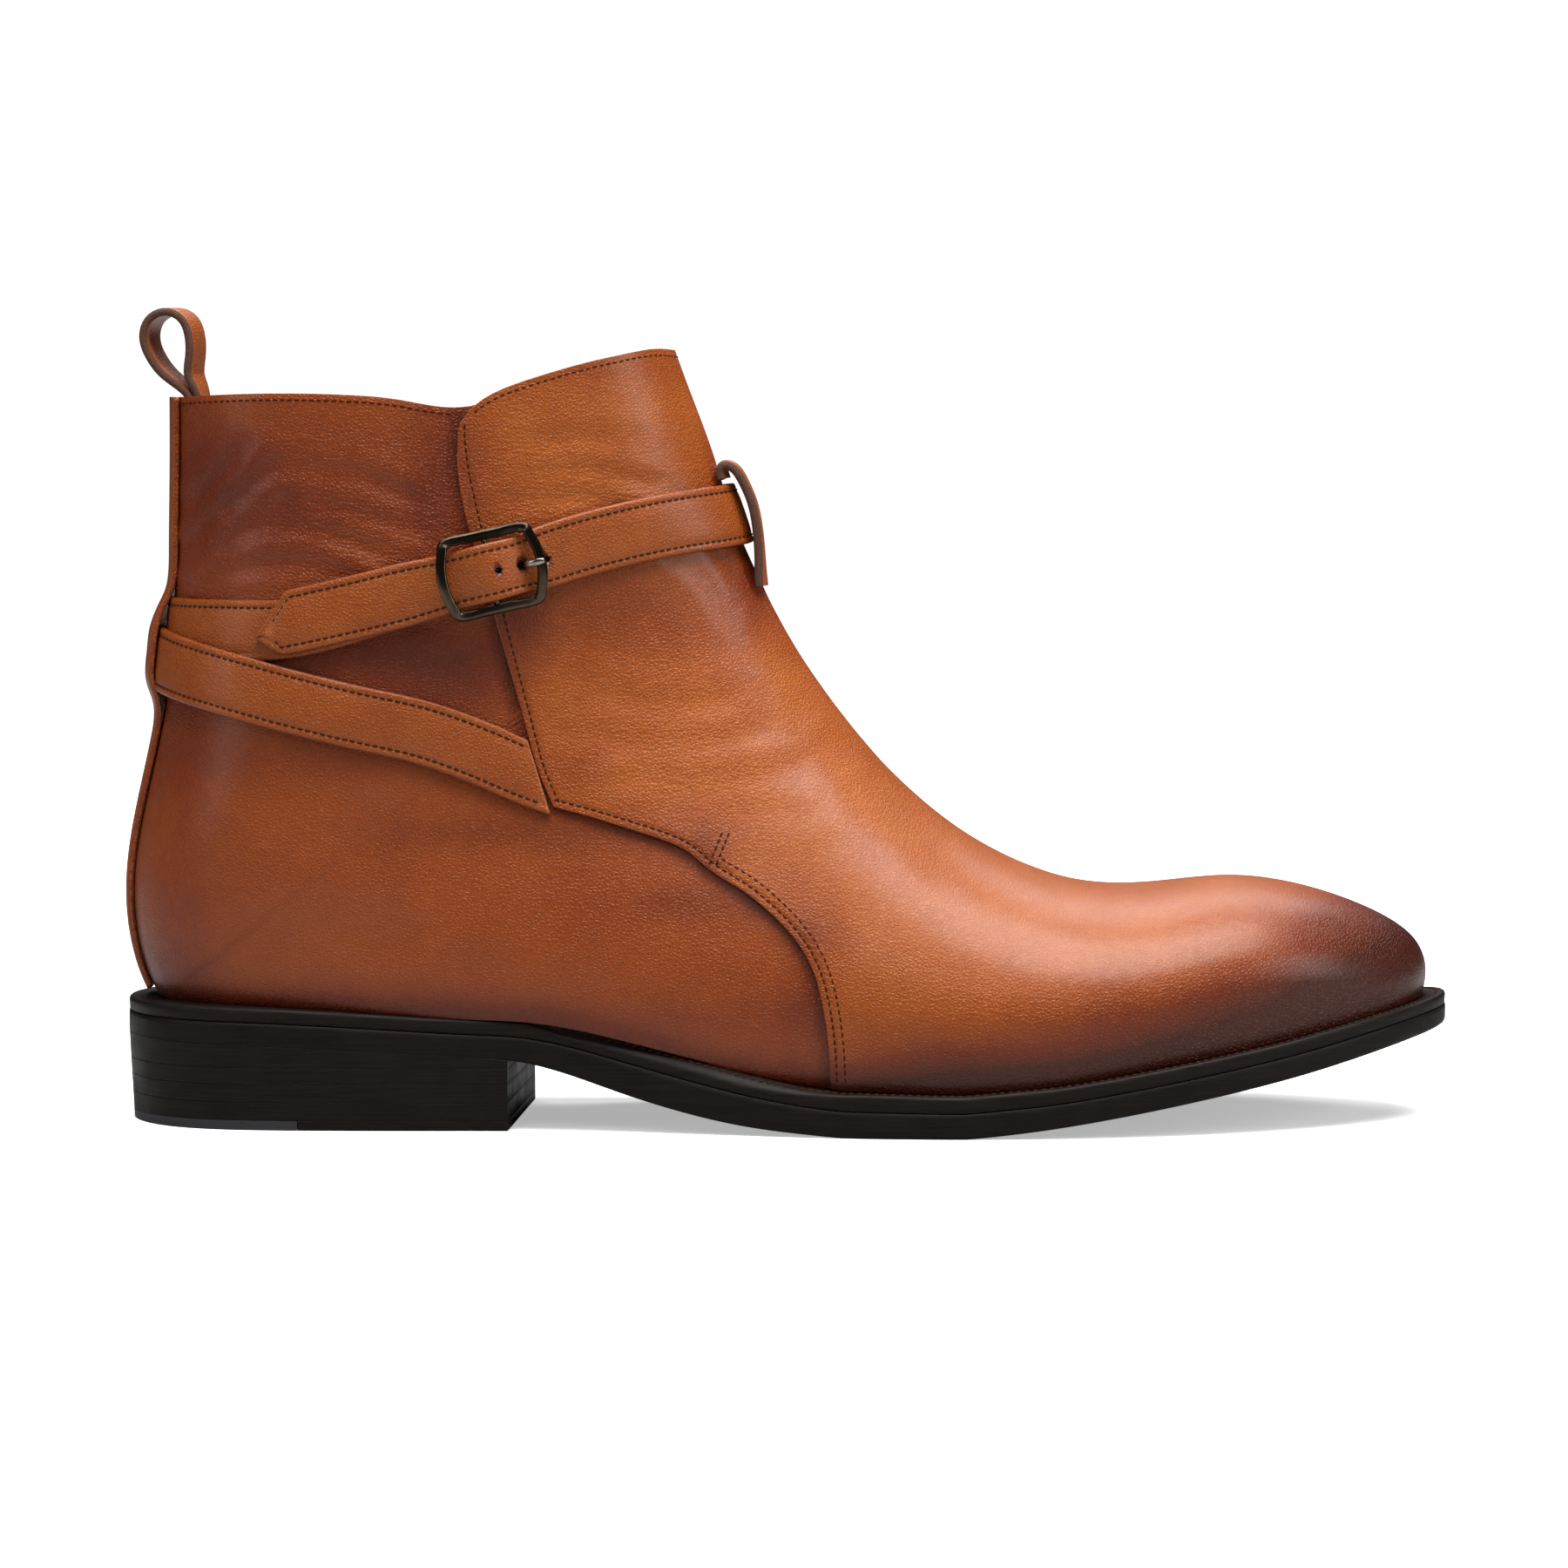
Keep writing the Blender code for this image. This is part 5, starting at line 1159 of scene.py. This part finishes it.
def make_strap(name, strap, node, material):
    """A strap of leather, its edges a little darker than its face."""
    rows = []
    for i in range(len(strap.middle)):
        low, high = strap.low[i], strap.high[i]
        half = (high - low) / 2
        profile = strap_profile(half, strap.thickness)
        ring = [strap.point(i, low + inset, rise) for inset, rise in profile]
        ring.append(strap.point(i, (low + high) / 2, 1.15 * strap.thickness))
        ring += [strap.point(i, high - inset, rise) for inset, rise in reversed(profile)]
        ring.append(ring[0])
        rows.append(ring)
    points = np.array(rows)
    dark = np.full(points.shape[:2], STRAP_BURNISH)
    dark[:, [1, 2, 3, -4, -3, -5]] += STRAP_EDGE_BURNISH
    patina_and_shade = np.stack([dark, np.full(dark.shape, STRAP_WRINKLE)], -1)
    piece = place(name, points, material, patina_and_shade=patina_and_shade)
    close_ends(piece)
    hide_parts(node)
    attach(piece, "root")
    return piece


def punch_holes(strap):
    """Round holes through the strap at the buckle: the prong's, and the next one on either side."""
    middle, forward, _, out = buckle_placing()
    turned = Vector(out).to_track_quat("Z", "Y").to_matrix().to_4x4()
    for at, radius in HOLES:
        clear_selection()
        bpy.ops.mesh.primitive_cylinder_add(vertices=20, radius=radius * MM, depth=PUNCH_LENGTH * MM)
        punch = bpy.context.object
        punch.matrix_world = Matrix.Translation(Vector((middle + forward * at + out * 3) * MM)) @ turned
        bpy.context.view_layer.update()
        finish_modifier(strap, "BOOLEAN", operation="DIFFERENCE", solver="EXACT", object=punch)
        bpy.data.objects.remove(punch, do_unlink=True)


def stitch_form():
    """One stitch along X, as a short round-ended bar of a few dozen faces."""
    clear_selection()
    bpy.ops.mesh.primitive_uv_sphere_add(segments=8, ring_count=6, radius=0.5)
    stitch = bpy.context.object
    points = np.array([tuple(v.co) for v in stitch.data.vertices])[:, [2, 0, 1]]
    faces = [tuple(p.vertices) for p in stitch.data.polygons]
    bpy.data.objects.remove(stitch, do_unlink=True)
    reach = STITCH_LENGTH / 2 - THREAD / 2
    sized = points * THREAD
    sized[:, 0] += np.sign(np.round(points[:, 0], 4)) * reach
    sized[:, 2] -= 0.10 * (sized[:, 0] / (STITCH_LENGTH / 2)) ** 2
    return sized, faces


STITCH_POINTS, STITCH_FACES = stitch_form()


def stitch_row(name, path, normals, material=THREAD_BROWN, pitch=STITCH_PITCH, slant=0.0):
    """Stitches a pitch apart along a path, each lying on its surface."""
    path, normals = np.asarray(path, float), np.asarray(normals, float)
    walked = walked_along(path)
    places = np.arange(pitch / 2, walked[-1], pitch)
    points, faces = [], []
    for distance in places:
        here = [np.interp(distance, walked, path[:, i]) for i in range(3)]
        ahead = [np.interp(min(distance + 0.4, walked[-1]), walked, path[:, i]) for i in range(3)]
        behind = [np.interp(max(distance - 0.4, 0), walked, path[:, i]) for i in range(3)]
        up = np.array([np.interp(distance, walked, normals[:, i]) for i in range(3)])
        up /= np.linalg.norm(up)
        along = np.array(ahead) - np.array(behind)
        along -= up * (along @ up)
        along /= np.linalg.norm(along)
        side = np.cross(up, along)
        along = along + side * slant
        along /= np.linalg.norm(along)
        side = np.cross(up, along)
        start = len(points) * len(STITCH_POINTS)
        points.append(np.array(here) + STITCH_POINTS[:, :1] * along + STITCH_POINTS[:, 1:2] * side
                      + STITCH_POINTS[:, 2:] * up)
        faces += [tuple(start + k for k in face) for face in STITCH_FACES]
    mesh = bpy.data.meshes.new(name)
    mesh.from_pydata((np.vstack(points) * MM).tolist(), [], faces)
    mesh.materials.append(material)
    mesh.shade_smooth()
    row = bpy.data.objects.new(name, mesh)
    bpy.context.scene.collection.objects.link(row)
    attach(row, "root")


def on_skin(side_view, side, lift):
    """Points and normals where side-view points lie on the skin, on the lateral (1) or medial (-1) side."""
    side_view = np.asarray(side_view, float)
    drop = 0.0 if side > 0 else MEDIAL_COLLAR_DROP
    sections = section_through(side_view)
    for _ in range(6):
        bend = smooth((sections - LAST_SECTION + COLLAR_BLEND) / COLLAR_BLEND)
        shift = bend * (collar_shift(side_view[:, 0]) - drop)
        sections = section_through(side_view - np.stack([0 * shift, shift], 1))

    def behind(angle):
        return form(sections, side * angle)[:, 0] < side_view[:, 0]

    angles = bisect(np.full(len(sections), 0.03), np.full(len(sections), math.pi - 0.01), behind)
    points, normals = skin_and_normal(sections, side * angles)
    lift = lift - crease_depth(points, PANEL_CREASES)
    return points + normals * lift[:, None], normals


def inward(line, distance):
    """A side-view line moved to the toe's side by a distance."""
    along = directions(line)
    return line + np.stack([along[:, 1], -along[:, 0]], 1) * distance


def make_panel_stitches():
    """Two rows along the vamp's seam, one up the flap, and two bar tacks at the second row's end."""
    low, flap = even(SEAM_LOW, 1.0), even(SEAM_FLAP, 1.0)
    above_welt = low[:, 1] > welt_top(low[:, 0]) + 1.5
    low = low[above_welt]
    for side, word in ((1, "lateral"), (-1, "medial")):
        first = inward(low, EDGE_TO_STITCH)
        points, normals = on_skin(first, side, -0.22)
        stitch_row(f"panel_stitches_{word}", points, normals)
        second = inward(low, EDGE_TO_STITCH + SECOND_ROW)
        second = second[second[:, 0] > TACK_LOW[0] + 2.1]
        points, normals = on_skin(second, side, -0.10)
        stitch_row(f"panel_second_stitches_{word}", points, normals)
        up = inward(flap, EDGE_TO_STITCH)
        up = up[(up[:, 1] < 161.2) & (up[:, 1] > 74.0)]
        points, normals = on_skin(up, side, -0.22)
        stitch_row(f"flap_edge_stitches_{word}", points, normals)
        for number, shift in enumerate((0.0, TACK_SPACING)):
            bar = np.array([TACK_LOW, TACK_HIGH]) + [shift, 0.0]
            points, normals = on_skin(even(bar, 0.5), side, -0.05)
            stitch_row(f"bar_tack_{word}_{number + 1}", points, normals, pitch=1.7)


def make_flap_top_stitches():
    """Row along the flap's top edge, and along the quarters' collar."""
    def stitch_line(side, angles, curve, highest):
        """Points and normals on the skin, one stitch distance under a curve of the side view."""
        def past_line(section):
            point = form(section, side * angles)
            return point[:, 2] > curve(point[:, 0]) - medial_drop(side * angles) - EDGE_TO_STITCH

        section = bisect(np.full(angles.shape, 18.0), np.full(angles.shape, highest), past_line)
        return skin_and_normal(section, side * angles)

    for side, word in ((1, "lateral"), (-1, "medial")):
        points, normals = stitch_line(side, np.linspace(0, 1.6, 160), PANEL_CURVE, 21.0)
        keep = points[:, 0] > 47.6
        stitch_row(f"flap_top_stitches_{word}", (points - normals * 0.1)[keep], normals[keep])
        points, normals = stitch_line(side, np.linspace(0.6, math.pi - 0.18, 220), COLLAR_CURVE, 20.5)
        keep = points[:, 0] < 44.3
        stitch_row(f"collar_stitches_{word}", (points - normals * (UPPER_DEPTH + 0.05))[keep], normals[keep])


def make_strap_stitches(name, strap, edges=("low", "high"), pointed=False):
    """Rows along a strap's edges, following its point."""
    for edge in edges:
        path, normals = [], []
        for i in range(2, len(strap.middle) - (6 if pointed else 2)):
            low, high = strap.low[i], strap.high[i]
            turning = pointed and strap.steps[-1] - strap.steps[i] < (TIP_HIGH if edge == "high" else TIP_LOW)
            slope = STRAP_EDGE_TO_STITCH * (TIP_SLOPE if turning else 1.0)
            offset = low + slope if edge == "low" else high - slope
            if high - low < 2 * slope:
                continue
            path.append(strap.point(i, offset, 0.98 * strap.thickness))
            normals.append(strap.out[i])
        stitch_row(f"{name}_stitches_{edge}", path, normals)


def make_back_strip():
    """Strip down the back seam, standing off the quarters where the straps run through it."""
    lift = spline(*zip(*BACK_STRIP))
    heel = closing_section(14.0, 17.0, UPPER_DEPTH, False)
    sections = heel + (LAST_SECTION - heel) * np.linspace(0.02, 1, 150)
    across = np.array([-1, -0.97, -0.93, -0.86, -0.78, -0.6, -0.3, 0, 0.3, 0.6, 0.78, 0.86, 0.93, 0.97, 1])
    crown = np.array([0.35, 0.7, 0.92, 1.0, 0.96, 1.0, 1.06, 1.08, 1.06, 1.0, 0.96, 1.0, 0.92, 0.7, 0.35])
    rows = []
    for section in sections:
        trial = np.linspace(math.pi, math.pi - 1.2, 60)
        edge = form(np.full(trial.shape, section), trial)[:, 1]
        reach = math.pi - np.interp(-BACK_STRIP_WIDTH / 2, edge[::-1], trial[::-1])
        angles = math.pi + across * reach
        height = float(form(section, math.pi)[2])
        base = float(lift(height))
        numbers = np.full(angles.shape, section)
        outer = skin(numbers, angles, -(base + crown * BACK_STRIP_THICKNESS))
        inner = skin(numbers, angles, np.full(angles.shape, -base))
        rows.append(np.vstack([outer, inner[::-1], outer[:1]]))
    points = np.array(rows)
    dark = np.full(points.shape[:2], 0.20)
    dark[:, [0, 1, -2, 13, 14, 15]] = 0.45
    patina_and_shade = np.stack([dark, np.full(dark.shape, 0.2)], -1)
    piece = place("back_strip_leather", points, STRAP_CALF, patina_and_shade=patina_and_shade)
    close_ends(piece)
    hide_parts("back_strip")
    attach(piece, "root")


def make_strip(name, node, columns, rows, width, thickness):
    """A strip whose middle line is drawn in side view, raw at its rounded cut edges."""
    third = columns[2]
    row = tracks(columns, rows)
    number = np.linspace(0, len(rows) - 1, 12 * len(rows))
    middle = np.stack([row["x"](number), row["z"](number)], 1)
    along = directions(middle)
    half_ring = [(side, 1) for side in (-0.9, -0.45, 0, 0.45, 0.9)] + [(0.975, 0.72), (1, 0), (0.975, -0.72)]
    ring_shape = half_ring + [(-side, -face) for side, face in half_ring]
    rings = []
    for (x, z), (dx, dz), value in zip(middle, along, row[third](number)):
        angle = math.radians(value) if third == "turned" else 0.0
        cup = value if third == "cup" else 0.0
        ring = []
        for side, face in ring_shape + ring_shape[:1]:
            reach = side * width / 2
            bulge = cup * (1 - side**2)
            ring.append((x - dz * face * thickness / 2 + reach * math.sin(angle) + bulge,
                         reach * math.cos(angle), z + dx * face * thickness / 2))
        rings.append(ring)
    points = np.array(rings)
    patina_and_shade = np.broadcast_to([0.15, 0.25], points.shape[:2] + (2,))
    piece = place(name, points, STRAP_CALF, patina_and_shade=patina_and_shade)
    close_ends(piece)
    piece.data.materials.append(RAW_FLESH)
    reach = 0.8865 * width / 2 * MM
    for face in piece.data.polygons:
        if abs(face.center[1]) > reach:
            face.material_index = 1
    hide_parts(node)
    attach(piece, "root")


def buckle_placing():
    """Middle of the buckle on the skin, and its forward, upward and outward directions."""
    turn, z = math.radians(BUCKLE_CENTRE[0]), BUCKLE_CENTRE[1]
    out = Vector((math.cos(turn), -math.sin(turn), 0.0))
    middle, normal = SKIN.ray_cast(Vector((SHAFT_AXIS_X, 0.0, z)) + out * 200, -out)[:2]
    normal = normal if normal.dot(out) > 0 else -normal
    rise = math.radians(BUCKLE_RISE)
    forward = Vector((math.cos(rise), 0.0, math.sin(rise)))
    forward = (forward - normal * forward.dot(normal)).normalized()
    return np.array(middle), np.array(forward), np.array(normal.cross(forward)), np.array(normal)


def frame_lift(forward):
    """Height of the bowed frame over the skin, at a distance forward of its middle."""
    return FRAME_LIFT + FRAME_BOW * (forward / FRAME_QUARTER[-1][0]) ** 2


def make_buckle():
    """Bowed frame of flat bars with broken corners, its centre bar, and the prong."""
    middle, forward, upward, out = buckle_placing()
    quarter = np.array(FRAME_QUARTER)
    half = np.vstack([quarter, (quarter * [1, -1])[-2::-1]])
    outline = np.vstack([half, (half * [-1, 1])[-2:0:-1]])
    outline = even(np.vstack([outline, outline[:3]]), 0.45)
    start = np.argmin(np.linalg.norm(outline[40:] - outline[2], axis=1)) + 40
    outline = outline[2:start]
    along = np.roll(outline, -1, axis=0) - np.roll(outline, 1, axis=0)
    along /= np.linalg.norm(along, axis=1, keepdims=True)
    inwards = np.stack([along[:, 1], -along[:, 0]], 1)
    section = ((0.10, 0.0), (0.0, 0.15), (0.0, 0.70), (0.03, 0.76), (0.17, 0.98), (0.21, 1.0), (0.5, 1.0),
               (0.83, 1.0), (0.86, 0.98), (0.97, 0.76), (1.0, 0.70), (1.0, 0.15), (0.9, 0.0), (0.10, 0.0))
    rows = []
    for (u, v), (iu, iv) in zip(outline, inwards):
        ring = []
        for inset, rise in section:
            a, b = u + iu * inset * FRAME_BAR, v + iv * inset * FRAME_BAR
            c = frame_lift(u) + rise * FRAME_THICKNESS
            ring.append(middle + forward * a + upward * b + out * c)
        rows.append(ring)
    rows.append(rows[0])
    piece = place("buckle_frame_plated", np.array(rows), GUNMETAL)
    select_only(piece)
    bpy.ops.object.mode_set(mode="EDIT")
    bpy.ops.mesh.select_all(action="SELECT")
    bpy.ops.mesh.normals_make_consistent(inside=False)
    bpy.ops.object.mode_set(mode="OBJECT")
    select_only(piece)
    bpy.ops.object.shade_smooth_by_angle(angle=math.radians(25))
    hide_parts("buckle_frame")
    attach(piece, "root")
    reach = FRAME_QUARTER[0][1] - FRAME_BAR / 2
    bar = []
    for end in np.linspace(-reach, reach, 9):
        turns = np.linspace(0, 2 * math.pi, 17)
        bar.append([middle + out * BAR_LIFT + upward * end
                    + CENTRE_BAR / 2 * (forward * math.cos(t) + out * math.sin(t)) for t in turns])
    piece = place("buckle_centre_bar", np.array(bar), GUNMETAL)
    close_ends(piece)
    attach(piece, "root")
    path = even(PRONG, 0.35)
    along = directions(path)
    rows = []
    for k, ((a, c), (da, dc)) in enumerate(zip(path, along)):
        narrow = 1.0 - 0.25 * smooth((k - len(path) + 6) / 6)
        ring = []
        for turn in np.linspace(0, 2 * math.pi, 13):
            side, face = math.cos(turn), math.sin(turn)
            side = math.copysign(abs(side) ** 0.7, side) * narrow
            u = a - dc * face * PRONG_THICKNESS / 2
            w = c + da * face * PRONG_THICKNESS / 2
            ring.append(middle + forward * u + out * w + upward * side * PRONG_WIDTH / 2)
        rows.append(ring)
    piece = place("buckle_prong_plated", np.array(rows), BRIGHT)
    close_ends(piece)
    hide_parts("buckle_prong")
    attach(piece, "root")


def make_welt_stitches():
    """Slanting stitches along the top of the welt, next to the upper, in front of the heel."""
    stations = np.linspace(0, len(SOLE_PLAN) - 1, 900)
    loop = sole_loop(stations, 1.9)
    points = loop_at(loop, lambda x: welt_top(x) - waist(x) * 0.6 + 0.02)
    points = points[points[:, 0] > 58]
    normals = np.tile([0.0, 0.0, 1.0], (len(points), 1))
    stitch_row("welt_stitches", points, normals, WELT_THREAD, pitch=1.9, slant=0.5)


# Soft lights, in metres and watts: place, what it points at, width and height, power
LIGHTS = {
    "overhead": ((0.22, -0.20, 1.15), (0.14, 0.0, 0.05), (1.1, 0.85), 32.0),
    "front": ((-0.12, -1.05, 0.95), (0.08, 0.0, 0.08), (0.6, 0.35), 2.6),
    "behind": ((0.15, 0.9, 1.0), (0.12, 0.0, 0.08), (1.2, 0.5), 8.0),
    "heel side": ((-1.1, -0.6, 0.6), (0.0, 0.0, 0.08), (0.4, 0.8), 2.5),
    "toe side": ((1.3, -0.5, 0.6), (0.15, 0.0, 0.1), (0.4, 0.8), 6.0),
}
# How strongly the white surroundings light the boot, and how bright the camera sees them
WORLD_LIGHT = 0.03
WORLD_SEEN = 1.05
# The photograph's view of the boot, in metres, and the lens that frames it
CAMERA_AT = (0.1189, -1.6, 0.19)
CAMERA_LOOKS_AT = (0.1189, 0.0, 0.0769)
LENS = 158.9


def area_light(name, location, target, size, power):
    """A soft rectangular light that points at the target."""
    data = bpy.data.lights.new(name, "AREA")
    data.shape = "RECTANGLE"
    data.size, data.size_y = size
    data.energy = power
    light = bpy.data.objects.new(name, data)
    bpy.context.scene.collection.objects.link(light)
    light.location = location
    light.rotation_euler = (Vector(target) - Vector(location)).to_track_quat("-Z", "Y").to_euler()


def make_studio():
    """A white floor, five soft lights and the camera of the photograph."""
    clear_selection()
    bpy.ops.mesh.primitive_plane_add(size=12.0, location=(0.12, 0.0, 0.0))
    floor = bpy.context.object
    floor.name = "floor"
    material, tree, shader, spread = start_material("paper sweep, matt white")
    # the floor glows for the lens, more so away from the boot, so the lens sees it white, and it throws
    # little light on the boot
    looked_at = add(tree, "ShaderNodeLightPath").outputs["Is Camera Ray"]
    paper = mix(tree, looked_at, (0.40, 0.40, 0.40, 1.0), (0.9, 0.9, 0.9, 1.0))
    tree.links.new(paper, shader.inputs["Base Color"])
    shader.inputs["Roughness"].default_value = 0.9
    shader.inputs["Emission Color"].default_value = (1.0, 1.0, 1.0, 1.0)
    distance = add(tree, "ShaderNodeVectorMath", {"operation": "LENGTH"}, _0=spread).outputs["Value"]
    glow = add(tree, "ShaderNodeMapRange", Value=distance, From_Min=0.18, From_Max=0.6, To_Min=0.42,
               To_Max=1.0)
    tree.links.new(maths(tree, "MULTIPLY", looked_at, glow.outputs[0]), shader.inputs["Emission Strength"])
    floor.data.materials.append(material)
    world = bpy.data.worlds.new("studio")
    bpy.context.scene.world = world
    world.use_nodes = True
    background = world.node_tree.nodes["Background"]
    background.inputs[0].default_value = (1.0, 1.0, 1.0, 1.0)
    seen = add(world.node_tree, "ShaderNodeLightPath").outputs["Is Camera Ray"]
    strength = add(world.node_tree, "ShaderNodeMapRange", Value=seen, To_Min=WORLD_LIGHT,
                   To_Max=WORLD_SEEN)
    world.node_tree.links.new(strength.outputs[0], background.inputs[1])
    for name, settings in LIGHTS.items():
        area_light(name, *settings)
    camera_data = bpy.data.cameras.new("camera")
    camera = bpy.data.objects.new("camera", camera_data)
    bpy.context.scene.collection.objects.link(camera)
    camera_data.sensor_width = 36.0
    camera_data.lens = LENS
    camera_data.clip_start, camera_data.clip_end = 0.05, 20.0
    camera.location = CAMERA_AT
    towards = Vector(CAMERA_LOOKS_AT) - camera.location
    camera.rotation_euler = towards.to_track_quat("-Z", "Y").to_euler()
    bpy.context.scene.camera = camera
    bpy.context.scene.view_settings.view_transform = "Standard"


make_upper()
make_front_panel()
make_outsole()
make_welt()
make_heel()
long_path = Strap(LONG_STRAP, STRAP_THICKNESS, pointed=True)
buckle_path = Strap(BUCKLE_STRAP, BUCKLE_STRAP_THICKNESS)
punch_holes(make_strap("long_strap_leather", long_path, "long_strap", STRAP_CALF))
make_strap("buckle_strap_leather", buckle_path, "buckle_strap", STRAP_CALF)
make_strap_stitches("long_strap", long_path, pointed=True)
make_strap_stitches("buckle_strap", buckle_path, edges=("high",))
make_back_strip()
make_strip("pull_loop_leather", "pull_loop", LOOP_COLUMNS, PULL_LOOP, LOOP_WIDTH, LOOP_THICKNESS)
make_strip("front_keeper_leather", "front_keeper", KEEPER_COLUMNS, KEEPER, KEEPER_WIDTH, KEEPER_THICKNESS)
make_buckle()
make_panel_stitches()
make_flap_top_stitches()
make_welt_stitches()
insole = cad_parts["insole"]
for spot in insole.material_slots:
    spot.material = INSOLE
make_studio()
